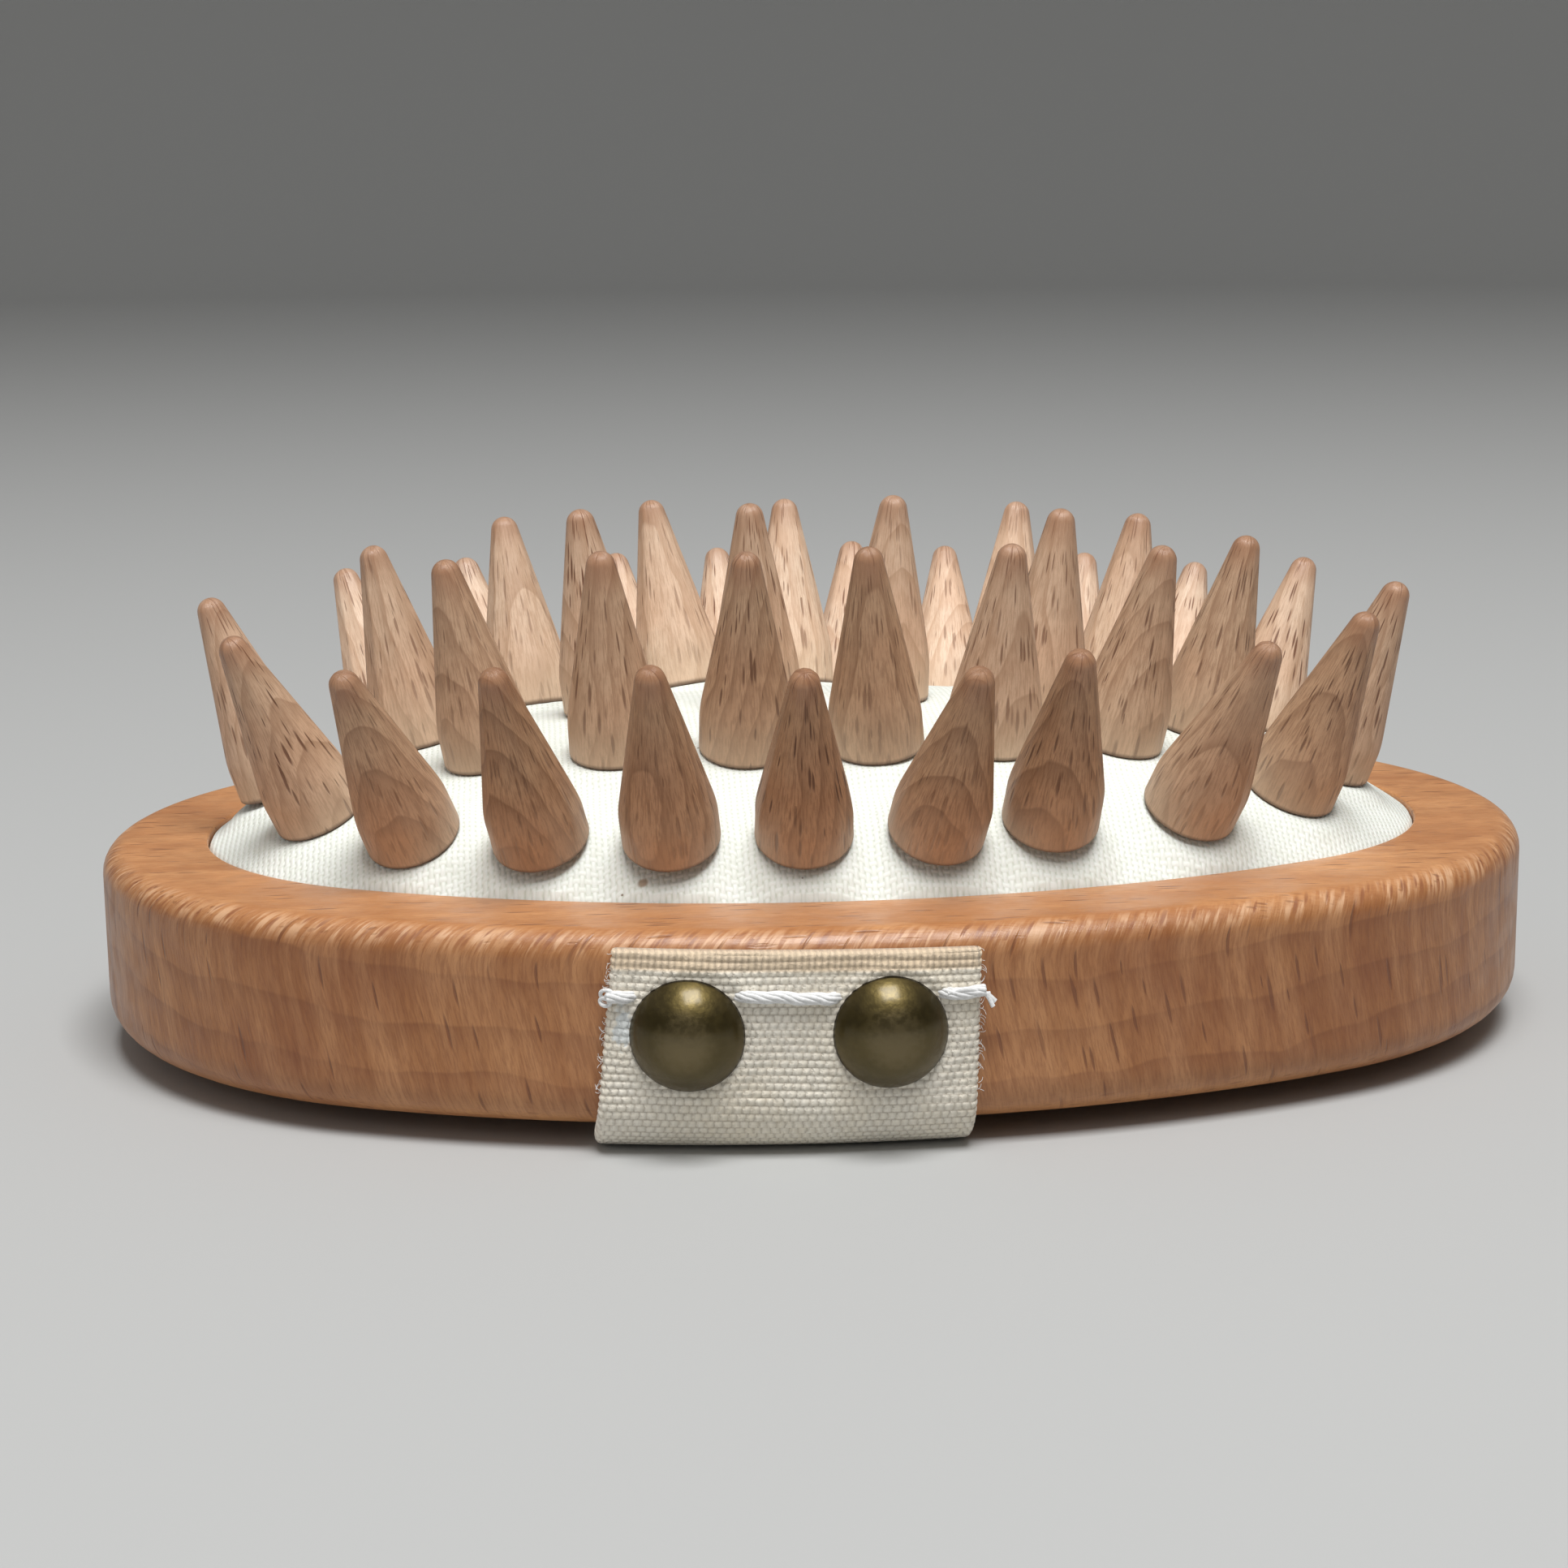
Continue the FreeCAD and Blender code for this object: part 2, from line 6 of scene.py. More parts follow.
# %% Load the frame
import json
import bpy
import bmesh
import numpy as np
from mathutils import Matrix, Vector


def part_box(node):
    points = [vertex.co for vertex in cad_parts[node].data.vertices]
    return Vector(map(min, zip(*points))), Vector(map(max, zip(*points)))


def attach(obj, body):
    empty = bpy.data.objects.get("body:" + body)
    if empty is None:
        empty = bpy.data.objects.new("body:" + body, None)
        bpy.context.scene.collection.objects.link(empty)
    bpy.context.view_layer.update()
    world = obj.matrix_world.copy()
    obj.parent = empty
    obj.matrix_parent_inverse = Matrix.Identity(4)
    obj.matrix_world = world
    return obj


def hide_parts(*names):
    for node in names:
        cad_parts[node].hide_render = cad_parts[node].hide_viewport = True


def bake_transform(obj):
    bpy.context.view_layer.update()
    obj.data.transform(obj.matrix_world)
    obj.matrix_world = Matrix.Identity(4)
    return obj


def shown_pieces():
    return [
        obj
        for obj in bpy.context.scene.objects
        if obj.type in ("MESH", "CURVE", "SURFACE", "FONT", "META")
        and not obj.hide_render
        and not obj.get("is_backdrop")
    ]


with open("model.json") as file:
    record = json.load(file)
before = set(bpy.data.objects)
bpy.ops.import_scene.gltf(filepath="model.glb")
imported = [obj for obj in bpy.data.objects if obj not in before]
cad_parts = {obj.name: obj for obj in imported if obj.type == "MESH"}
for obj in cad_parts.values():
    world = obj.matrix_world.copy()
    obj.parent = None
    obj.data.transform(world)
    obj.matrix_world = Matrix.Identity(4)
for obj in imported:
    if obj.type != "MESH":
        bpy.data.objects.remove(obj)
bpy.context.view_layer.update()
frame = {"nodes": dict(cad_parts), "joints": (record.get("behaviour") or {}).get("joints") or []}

MM = 0.001

# %% [markdown]
# The block is an oval of four tangent arcs, and the rest sits on it. The box of the
# block's own node gives its half length, half width, underside and rim, and the arcs'
# radii are written here, because a box can't give them.

# %% Sizes that the pieces share
block_low, block_high = (np.array(corner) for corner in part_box("wooden_body"))
HALF_LENGTH, HALF_WIDTH = block_high[0], block_high[1]
BASE, RIM = block_low[2], block_high[2]
END_RADIUS = 39.5 * MM
OPENING = (HALF_LENGTH - 9.7 * MM, HALF_WIDTH - 11.0 * MM, 27.0 * MM)
BASE_ROUND, TOP_ROUND = 3.4 * MM, 2.3 * MM
PIN_LENGTH, PIN_RADIUS = 19.2 * MM, 4.3 * MM
print("block", HALF_LENGTH * 2, "by", HALF_WIDTH * 2, "m, rim at", RIM)

# %% [markdown]
# Every shape here is a grid of points worked out at once. Small helpers serve them: points
# from their three coordinates, the directions of a full turn, a profile spun about the
# upright line, an even ease, and the corner numbers of a grid's faces.

# %% Helpers for grids
def points(x, y, z):
    """Points of three coordinates, each spread over the shape that they share."""
    return np.stack(np.broadcast_arrays(x, y, z), axis=-1)


def full_turn(steps):
    """Directions spaced evenly round a full turn."""
    return np.arange(steps) / steps * 2 * np.pi


def spun(profile, steps, swell=1):
    """Each profile point, a radius and a height, carried round the upright line. The
    radius is multiplied by swell, which may differ from point to point."""
    turn = full_turn(steps)
    radius, height = profile[:, 0, None] * swell, profile[:, 1, None]
    return points(radius * np.cos(turn), radius * np.sin(turn), height)


def smooth(value, low, high):
    """0 below low, 1 above high, and an even ease between."""
    t = np.clip((value - low) / (high - low), 0, 1)
    return t * t * (3 - 2 * t)


def quads_between(rows, columns, closed=False):
    """The corner numbers of the quads between neighbouring points of a grid, rows by columns.
    A closed grid's last column joins its first."""
    index = np.arange(rows * columns).reshape(rows, columns)
    if closed:
        index = np.concatenate([index, index[:, :1]], axis=1)
    corners = [index[:-1, :-1], index[:-1, 1:], index[1:, 1:], index[1:, :-1]]
    return np.stack(corners, axis=-1).reshape(-1, 4)


print("a square of", len(quads_between(2, 2)), "face has corners", quads_between(2, 2)[0])

# %% [markdown]
# The camera stands a little above the rim in front of the brush and looks slightly
# down. It is placed by its point and its view line, then turned a touch about that
# line, as a hand-held camera is. A lens of 68 mm keeps the far pins from shrinking.

# %% Camera
EYE, VIEW_LINE, ROLL = (-0.02734, -0.27811, 0.07928), (0.08524, 0.97596, -0.20059), -0.0114
lens = bpy.data.cameras.new("camera")
lens.lens = 68.04
lens.clip_start = 0.01
camera = bpy.data.objects.new("camera", lens)
bpy.context.scene.collection.objects.link(camera)
camera.location = EYE
camera.rotation_euler = Vector(VIEW_LINE).to_track_quat("-Z", "Y").to_euler()
camera.rotation_euler.rotate_axis("Z", ROLL)
bpy.context.scene.camera = camera
print("camera at", tuple(camera.location))

# %% [markdown]
# The stage is one pale sheet that lies flat under the brush and curves up all round it,
# as a paper bowl, so no horizon line shows from any side. It is a profile of floor,
# quarter round and wall, spun about the upright line through the brush.

# %% Stage
FLOOR_REACH, CURVE, WALL_TOP, STAGE_STEPS = 1.9, 0.9, 1.6, 96
bend = np.linspace(0, np.pi / 2, 24)
quarter_round = np.stack([FLOOR_REACH + CURVE * np.sin(bend), CURVE - CURVE * np.cos(bend)], axis=1)
floor_and_wall = [[(0.4, 0.0)], quarter_round, [(FLOOR_REACH + CURVE, WALL_TOP)]]
paper = spun(np.concatenate(floor_and_wall), STAGE_STEPS)
paper_faces = quads_between(*paper.shape[:2], closed=True)[:, ::-1].tolist() + [list(range(STAGE_STEPS))]
mesh = bpy.data.meshes.new("stage")
mesh.from_pydata(paper.reshape(-1, 3).tolist(), [], paper_faces)
mesh.shade_smooth()
stage = bpy.data.objects.new("stage", mesh)
bpy.context.scene.collection.objects.link(stage)
stage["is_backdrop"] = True
paper_finish = bpy.data.materials.new("pale_paper")
paper_finish.use_nodes = True
paper_shader = paper_finish.node_tree.nodes["Principled BSDF"].inputs
paper_shader["Base Color"].default_value = (0.48, 0.485, 0.48, 1)
paper_shader["Roughness"].default_value = 0.9
mesh.materials.append(paper_finish)
print("stage of", len(mesh.polygons), "faces")

# %% [markdown]
# Soft light comes from a wide lamp above and a little in front. It falls on the far
# pins, which lean back, and on the rim, and leaves the near side in gentle shade. A weak
# lamp at the left and the even sky fill that shade, so that a colour renders about as it
# is written.

# %% Lamps and sky
def soft_lamp(name, place, target, size, power):
    """A square area lamp at place, turned so that it shines on target."""
    data = bpy.data.lights.new(name, "AREA")
    data.shape = "SQUARE"
    data.size = size
    data.energy = power
    lamp = bpy.data.objects.new(name, data)
    bpy.context.scene.collection.objects.link(lamp)
    lamp.location = place
    aim = Vector(target) - Vector(place)
    lamp.rotation_euler = aim.to_track_quat("-Z", "Y").to_euler()
    return lamp


soft_lamp("overhead", (0.05, -0.36, 1.05), (0, 0, 0.02), 0.5, 12.5)
fill = soft_lamp("left_fill", (-1.1, -0.9, 0.6), (0, 0, 0.02), 0.9, 1.8)
fill.visible_glossy = False
world = bpy.data.worlds.new("sky")
bpy.context.scene.world = world
world.use_nodes = True
world.node_tree.nodes["Background"].inputs["Color"].default_value = (1.0, 0.985, 0.965, 1)
world.node_tree.nodes["Background"].inputs["Strength"].default_value = 0.28
bpy.context.scene.view_settings.view_transform = "Standard"
print("two lamps and a sky")

# %% [markdown]
# Materials are node trees, and small helpers keep them readable: each adds one kind of
# node with its values or links in a single line.

# %% Helpers for nodes
def feed(tree, socket, value):
    """A socket's value: another node's output is linked to it, and a constant is set."""
    if isinstance(value, bpy.types.NodeSocket):
        tree.links.new(value, socket)
    else:
        socket.default_value = value


def add(tree, kind, inputs=None, **settings):
    """A new node. Each input is either a value or another node's output socket."""
    made = tree.nodes.new("ShaderNode" + kind)
    for name, value in settings.items():
        setattr(made, name, value)
    for name, value in (inputs or {}).items():
        feed(tree, made.inputs[name], value)
    return made


def maths(tree, operation, first, second=0.0, third=0.0):
    """A Math node's output."""
    return add(tree, "Math", {0: first, 1: second, 2: third}, operation=operation).outputs[0]


def times(tree, first, second):
    """The product of two numbers."""
    return maths(tree, "MULTIPLY", first, second)


def vector(tree, operation, first, second=(0, 0, 0), output="Vector"):
    """A Vector Math node's output."""
    return add(tree, "VectorMath", {0: first, 1: second}, operation=operation).outputs[output]


def split(tree, value):
    """A vector's three numbers."""
    return add(tree, "SeparateXYZ", {"Vector": value}).outputs


print("helpers for single nodes ready")

# %% [markdown]
# A few steps come back in every finish: a soft threshold on a number, a colour laid over
# another, a place shaken by noise, and a distance from a chosen point. Each is one call.

# %% Helpers for finishes
def ramp(tree, value, low, high, to_low=0.0, to_high=1.0):
    """A smooth step of value: to_low below low, to_high above high."""
    limits = {"Value": value, "From Min": low, "From Max": high, "To Min": to_low, "To Max": to_high}
    return add(tree, "MapRange", limits, interpolation_type="SMOOTHSTEP").outputs["Result"]


def blend_colours(tree, share, first, second):
    """The colour between first and second at share."""
    return add(tree, "Mix", {0: share, 6: first, 7: second}, data_type="RGBA", clamp_factor=True).outputs[2]


def layered(tree, colour, *layers):
    """A colour with layers laid over it in turn, each a share and the colour it brings."""
    for share, over in layers:
        colour = blend_colours(tree, share, colour, over)
    return colour


def nudged(tree, place, reach):
    """A place moved about by noise of a few millimetres, by up to half of reach."""
    noise = add(tree, "TexNoise", {"Vector": place, "Scale": 500.0, "Detail": 1.0}).outputs["Color"]
    step = vector(tree, "MULTIPLY", vector(tree, "SUBTRACT", noise, (0.5, 0.5, 0.5)), (reach, reach, reach))
    return vector(tree, "ADD", place, step)


def distance_from(tree, place, centre, stretch):
    """How far a place is from a centre, measured after each axis is stretched."""
    away = vector(tree, "MULTIPLY", vector(tree, "SUBTRACT", place, centre), stretch)
    return vector(tree, "LENGTH", away, output="Value")


print("helpers for finishes ready")

# %% [markdown]
# A group is an effect with named sockets, which several materials share with their own
# values. It is built once, and stands as a single node in each material.

# %% Helpers for groups
def new_group(name, place, inputs, outputs):
    """An empty node group with its two end nodes. It takes one place and some numbers,
    given with their usual values, and its outputs are numbers."""
    tree = bpy.data.node_groups.new(name, "ShaderNodeTree")
    tree.interface.new_socket(place, in_out="INPUT", socket_type="NodeSocketVector")
    for label, value in inputs.items():
        socket = tree.interface.new_socket(label, in_out="INPUT", socket_type="NodeSocketFloat")
        socket.default_value = value
    for label in outputs:
        tree.interface.new_socket(label, in_out="OUTPUT", socket_type="NodeSocketFloat")
    return tree, tree.nodes.new("NodeGroupInput").outputs, tree.nodes.new("NodeGroupOutput").inputs


def place_group(tree, group, inputs):
    """The outputs of a group that stands as one node in another tree."""
    return add(tree, "Group", inputs, node_tree=group).outputs


print("helpers for groups ready")

# %% [markdown]
# Beech has three marks. Its yearly rings are wide soft layers, each with a thin darker
# line where growth stopped. Its rays show as short dark spindles. Between them runs a
# fine fibre. The group takes a place in metres whose Z runs along the rays' length, and
# makes rings from stretched noise, spindles from stretched cells and fibre from very
# stretched noise.

# %% Node group: beech
beech, given, result = new_group(
    "beech_grain", "Grain",
    {"Ring Width": 0.0013, "Fleck Across": 0.0006, "Fleck Along": 0.007, "Fleck Size": 0.16},
    ["Ring", "Fleck", "Fibre"],
)
warp = add(beech, "TexNoise", {"Vector": given["Grain"], "Scale": 90.0, "Detail": 2.0})
sway = times(beech, maths(beech, "SUBTRACT", warp.outputs[0], 0.5), 0.0035)
across_rings = maths(beech, "ADD", split(beech, given["Grain"])["X"], sway)
layer = maths(beech, "DIVIDE", across_rings, given["Ring Width"])
fraction = maths(beech, "FRACT", layer)
rise = maths(beech, "POWER", fraction, 2.5)
fall = ramp(beech, fraction, 0.93, 1.0, 1.0, 0.0)
beech.links.new(times(beech, rise, fall), result["Ring"])

across = maths(beech, "DIVIDE", 1.0, given["Fleck Across"])
along = maths(beech, "DIVIDE", 1.0, given["Fleck Along"])
stretch = add(beech, "CombineXYZ", {"X": across, "Y": across, "Z": along}).outputs[0]
bent = vector(beech, "MULTIPLY", nudged(beech, given["Grain"], 0.0001), stretch)
cells = add(beech, "TexVoronoi", {"Vector": bent, "Scale": 1.0})
chance = split(beech, cells.outputs["Color"])
reach = times(beech, given["Fleck Size"], maths(beech, "MULTIPLY_ADD", chance["X"], 0.65, 0.35))
edge = maths(beech, "DIVIDE", cells.outputs["Distance"], reach)
spindle = ramp(beech, edge, 0.6, 1.2, 1.0, 0.0)
there = ramp(beech, chance["Y"], 0.2, 0.4)
beech.links.new(times(beech, spindle, there), result["Fleck"])
thin = vector(beech, "MULTIPLY", given["Grain"], (5200.0, 5200.0, 620.0))
fibre = add(beech, "TexNoise", {"Vector": thin, "Scale": 1.0, "Detail": 4.0, "Roughness": 0.65})
beech.links.new(fibre.outputs[0], result["Fibre"])
print("group", beech.name, "has", len(beech.nodes), "nodes")

# %% [markdown]
# Woven cloth is two sets of threads that pass over and under each other. Across one
# set the height is the absolute sine of the place over the pitch. The product of the two
# sines is positive in every other square, as on a chess board, and says which thread
# is on top there. Jitter moves each thread a little, as in hand-spun cotton.

# %% Node group: weave
weave, given, result = new_group(
    "plain_weave", "Lay", {"Across": 0.0005, "Along": 0.0005, "Lead": 0.4}, ["Height", "Gap"]
)
parts = split(weave, nudged(weave, given["Lay"], 0.00016))
wave_x, wave_y = (
    maths(weave, "SINE", times(weave, maths(weave, "DIVIDE", parts[axis], given[pitch]), np.pi))
    for axis, pitch in (("X", "Across"), ("Y", "Along"))
)
over = times(weave, times(weave, wave_x, wave_y), 0.35)
ahead = maths(weave, "ADD", over, times(weave, given["Lead"], 0.5))
warp_thread = times(weave, maths(weave, "ABSOLUTE", wave_x), maths(weave, "ADD", 0.6, ahead))
weft_thread = times(weave, maths(weave, "ABSOLUTE", wave_y), maths(weave, "SUBTRACT", 0.6, ahead))
height = maths(weave, "MAXIMUM", warp_thread, weft_thread)
weave.links.new(height, result["Height"])
weave.links.new(ramp(weave, height, 0.15, 0.55, 1.0, 0.0), result["Gap"])
print("group", weave.name, "has", len(weave.nodes), "nodes")

# %% [markdown]
# No surface keeps one tone. This group lays soft clouds at two scales over a place, and
# serves wood, cloth and metal for their uneven dye, handling and tarnish.

# %% Node group: clouds
clouds, given, result = new_group(
    "soft_clouds", "Place", {"Wide": 0.03, "Fine": 0.002}, ["Wide", "Fine"]
)
for label in ("Wide", "Fine"):
    size = maths(clouds, "DIVIDE", 1.0, given[label])
    noise = add(clouds, "TexNoise", {"Vector": given["Place"], "Scale": size, "Detail": 3.0})
    clouds.links.new(ramp(clouds, noise.outputs[0], 0.3, 0.7), result[label])
print("group", clouds.name, "has", len(clouds.nodes), "nodes")

# %% [markdown]
# Raw cotton keeps a few dark specks of seed. The group makes cells of a few millimetres
# and puts a small spot at the heart of one in six.

# %% Node group: specks
specks, given, result = new_group("seed_specks", "Place", {}, ["Speck"])
seeds = add(specks, "TexVoronoi", {"Vector": given["Place"], "Scale": 260.0})
picked = split(specks, seeds.outputs["Color"])["X"]
spot = ramp(specks, seeds.outputs["Distance"], 0.02, 0.04, 0.8, 0.0)
specks.links.new(times(specks, spot, ramp(specks, picked, 0.80, 0.84)), result["Speck"])
print("group", specks.name, "has", len(specks.nodes), "nodes")

# %% [markdown]
# Every material starts from the same few steps: a Principled shader, the place or the
# numbers that the mesh carries, the shared groups at this finish's own sizes, and at the
# end a colour, a roughness and a bump.

# %% Helpers for materials
def new_material(name):
    """A material's name, its tree and its Principled shader."""
    material = bpy.data.materials.new(name)
    material.use_nodes = True
    return material, material.node_tree, material.node_tree.nodes["Principled BSDF"].inputs


def carried(tree, name, output="Fac"):
    """A number or vector that the piece's mesh carries at each point."""
    return add(tree, "Attribute", attribute_name=name).outputs[output]


def own_place(tree):
    """The place of the shaded point in the piece's own axes, in metres."""
    return add(tree, "TexCoord").outputs["Object"]


def rays(tree, grain, across, along, size):
    """The beech group with its rays' own cell, across and along, and their share of it."""
    return place_group(tree, beech, {"Grain": grain, "Fleck Across": across, "Fleck Along": along,
                                     "Fleck Size": size})


def clouded(tree, place, wide, fine):
    """The clouds group at two sizes in metres."""
    return place_group(tree, clouds, {"Place": place, "Wide": wide, "Fine": fine})


def dress(tree, shader, colour, roughness, height, strength, depth):
    """The shader's colour and roughness, and a bump as deep as depth in metres."""
    feed(tree, shader["Base Color"], colour)
    feed(tree, shader["Roughness"], roughness)
    bump = add(tree, "Bump", {"Height": height, "Strength": strength, "Distance": depth})
    feed(tree, shader["Normal"], bump.outputs[0])


print("helpers for materials ready")

# %% [markdown]
# The block is varnished, so it shows a satin gloss over warm orange wood. On its side
# the rays stand upright as slanted strokes and the rings run nearly level. On the flat
# rim and underside the same rays lie along the block as short dashes. An attribute that
# the mesh carries, facing, is 0 on the side and 1 on those, and blends the patterns and
# the colours; the side's darker colours are painted shade. Over the top's rounded edge,
# pale strokes are a painted highlight, and dark nicks are the rays cut across there.

# %% Material: varnished beech
varnished, tree, shader = new_material("varnished_beech")
facing = carried(tree, "facing")
wrap = carried(tree, "wrap", "Vector")
place = split(tree, own_place(tree))
level = maths(tree, "SUBTRACT", times(tree, place["Z"], 0.95), times(tree, place["Y"], 0.16))
rings = add(tree, "CombineXYZ", {"X": level, "Y": place["Y"], "Z": place["X"]}).outputs[0]
endways = add(tree, "CombineXYZ", {"X": place["Y"], "Y": place["Z"], "Z": place["X"]}).outputs[0]
side = rays(tree, wrap, 0.00070, 0.0068, 0.27)
top = rays(tree, endways, 0.00055, 0.0048, 0.30)
nicks = rays(tree, wrap, 0.00058, 0.0024, 0.56)
yearly = place_group(tree, beech, {"Grain": rings, "Ring Width": 0.0042})
stain = clouded(tree, rings, 0.02, 0.003)
streaks = clouded(tree, vector(tree, "MULTIPLY", wrap, (1.0, 1.0, 0.16)), 0.0026, 0.00055)
lines = clouded(tree, vector(tree, "MULTIPLY", endways, (1.0, 1.0, 0.07)), 0.0030, 0.0009)
on_side = maths(tree, "SUBTRACT", 1.0, facing)
over_edge = times(tree, times(tree, facing, on_side), ramp(tree, place["Z"], 0.008, 0.012, 0.0, 4.0))
fleck = maths(tree, "MULTIPLY_ADD", top["Fleck"], facing, times(tree, side["Fleck"], on_side))
fibre = maths(tree, "MULTIPLY_ADD", top["Fibre"], facing, times(tree, side["Fibre"], on_side))
# The side's colours, the first of each pair, are darker than the rim's: painted shade on the upright side.
low = blend_colours(tree, facing, (0.30, 0.104, 0.034, 1), (0.54, 0.245, 0.095, 1))
high = blend_colours(tree, facing, (0.45, 0.196, 0.071, 1), (0.79, 0.410, 0.178, 1))
band = blend_colours(tree, facing, (0.20, 0.062, 0.020, 1), (0.42, 0.165, 0.060, 1))
light = times(tree, streaks["Wide"], maths(tree, "MULTIPLY_ADD", on_side, 0.34, 0.10))
shade = times(tree, streaks["Fine"], maths(tree, "MULTIPLY_ADD", on_side, 0.24, 0.06))
dusk = times(tree, ramp(tree, fibre, 0.44, 0.62), ramp(tree, facing, 0.0, 1.0, 0.34, 0.52))
along_rim = times(tree, maths(tree, "MULTIPLY_ADD", lines["Fine"], 0.5, lines["Wide"]), facing)
soft = maths(tree, "MULTIPLY_ADD", streaks["Fine"], 0.5, times(tree, side["Fibre"], 0.5))
patches = ramp(tree, stain["Fine"], 0.25, 0.6, 0.35, 1.0)
# Pale strokes over the top's rounded edge: a painted highlight.
painted_edge_highlight = times(tree, times(tree, ramp(tree, soft, 0.34, 0.60, 0.46, 0.0), patches), over_edge)
wood = layered(
    tree, low,
    (stain["Wide"], high),
    (times(tree, stain["Fine"], 0.35), high),
    (times(tree, yearly["Ring"], 0.62), band),
    (light, (0.70, 0.37, 0.175, 1)),
    (shade, band),
    (dusk, band),
    (times(tree, along_rim, 0.36), (0.40, 0.150, 0.052, 1)),
    (painted_edge_highlight, (0.90, 0.60, 0.38, 1)),
    (times(tree, times(tree, nicks["Fleck"], over_edge), 0.85), (0.30, 0.110, 0.045, 1)),
    (times(tree, fleck, 0.72), (0.18, 0.060, 0.025, 1)),
)
relief = maths(tree, "SUBTRACT", times(tree, fibre, 0.6), fleck)
dress(tree, shader, wood, ramp(tree, stain["Fine"], 0.0, 1.0, 0.30, 0.42), relief, 0.6, 0.00012)
print("material", varnished.name)

# %% [markdown]
# The pins are turned from raw beech. Rings that lie nearly along a pin cut its cone in
# tall pointed arches, and each pin is cut from another place in the wood, so each mesh
# carries its own grain. The rays follow the cone's surface as dark dashes, so the mesh
# also carries a drum: the surface rolled onto a cylinder. The foot of each cone is painted
# a little paler, as light bounced up from the canvas, over a thin dark line at the base:
# partly an edge that the lathe has burnt, partly painted contact shadow. The tips are
# handled most, so they are darker and shinier.

# %% Material: raw beech
raw, tree, shader = new_material("raw_beech")
grain = carried(tree, "grain", "Vector")
tone_and_light = carried(tree, "tone_and_light")
climb = carried(tree, "climb")
layers = place_group(tree, beech, {"Grain": grain, "Ring Width": 0.0016})
marks = rays(tree, carried(tree, "drum", "Vector"), 0.00050, 0.0034, 0.42)
stain = clouded(tree, grain, 0.009, 0.0012)
# Each pair runs from dark to pale with the pin's tone, which is partly the wood's own and partly painted
# light and shade.
wood = blend_colours(tree, tone_and_light, (0.535, 0.330, 0.190, 1), (0.90, 0.70, 0.53, 1))
red = blend_colours(tree, tone_and_light, (0.48, 0.260, 0.140, 1), (0.86, 0.58, 0.40, 1))
dark = blend_colours(tree, tone_and_light, (0.21, 0.102, 0.050, 1), (0.60, 0.37, 0.23, 1))
flecks = blend_colours(tree, tone_and_light, (0.085, 0.030, 0.014, 1), (0.22, 0.085, 0.040, 1))
polished = ramp(tree, climb, 0.78, 0.97)
wood = layered(
    tree, wood,
    (times(tree, stain["Wide"], 0.7), red),
    (times(tree, layers["Ring"], 0.74), dark),
    (ramp(tree, marks["Fibre"], 0.45, 0.60, 0.0, 0.50), dark),
    (times(tree, stain["Fine"], 0.20), dark),
    (times(tree, marks["Fleck"], carried(tree, "dashes")), flecks),
    (times(tree, polished, 0.5), (0.36, 0.16, 0.085, 1)),
    # Paler foot: painted light, bounced up from the pale canvas.
    (ramp(tree, climb, 0.05, 0.40, 0.34, 0.0), (0.72, 0.56, 0.41, 1)),
    # A thin dark line at the base: partly the lathe's burnt edge, partly painted contact shadow.
    (ramp(tree, climb, 0.006, 0.03, 0.75, 0.0), (0.09, 0.04, 0.02, 1)),
)
relief = maths(tree, "SUBTRACT", times(tree, marks["Fibre"], 0.8), marks["Fleck"])
dress(tree, shader, wood, ramp(tree, polished, 0.0, 1.0, 0.55, 0.30), relief, 0.6, 0.0001)
print("material", raw.name)

# %% [markdown]
# The canvas is a plain weave of thick cotton, off-white with a breath of green. The
# threads across its width are tighter, so upright columns lead. The rubber under it is
# tan and powdery. One small brown husk from the raw cotton sits near the front edge.

# %% Materials: canvas and rubber
HUSK = (-0.0180, -0.0314, 0.0)
canvas_cloth, tree, shader = new_material("cotton_canvas")
place = own_place(tree)
threads = place_group(tree, weave, {"Lay": place, "Across": 0.00052, "Along": 0.00048, "Lead": 0.2})
stain = clouded(tree, place, 0.025, 0.0011)
husk = distance_from(tree, place, HUSK, (1.0, 1.6, 0.0))
cloth = layered(
    tree, (0.87, 0.915, 0.85, 1),
    (stain["Fine"], (0.925, 0.965, 0.92, 1)),
    # Darker gaps between the threads: painted shade.
    (times(tree, threads["Gap"], 0.5), (0.56, 0.62, 0.50, 1)),
    (ramp(tree, husk, 0.00026, 0.00060, 0.8, 0.0), (0.40, 0.26, 0.15, 1)),
    (place_group(tree, specks, {"Place": place})["Speck"], (0.20, 0.12, 0.07, 1)),
)
dress(tree, shader, cloth, 0.9, threads["Height"], 0.55, 0.00018)
shader["Sheen Weight"].default_value = 0.15

latex, tree, shader = new_material("latex_sheet")
stain = clouded(tree, own_place(tree), 0.02, 0.0008)
tint = blend_colours(tree, stain["Wide"], (0.55, 0.41, 0.26, 1), (0.64, 0.50, 0.34, 1))
dress(tree, shader, tint, ramp(tree, stain["Fine"], 0.0, 1.0, 0.6, 0.8), stain["Fine"], 0.2, 0.0001)
print("materials", canvas_cloth.name, "and", latex.name)

# %% [markdown]
# The webbing is cream cotton over elastic cords. Its ribs are real geometry, and the
# loops of yarn along each rib are too small for that, so a bump makes them: they are the
# absolute sine of the place across, shifted by half a loop on every other rib like bricks.
# The mesh carries lay, its place across and along the cloth. The folded hem at the top is
# a little yellower, with narrower loops. The thread is the same yarn bleached white.

# %% Materials: webbing and thread
RIB = 0.64 * MM
GLUE = (-0.0209, 0.0062, 0.0)


def humps(tree, turns):
    """The absolute sine: a round hump for each whole number of turns."""
    return maths(tree, "ABSOLUTE", maths(tree, "SINE", times(tree, turns, np.pi)))


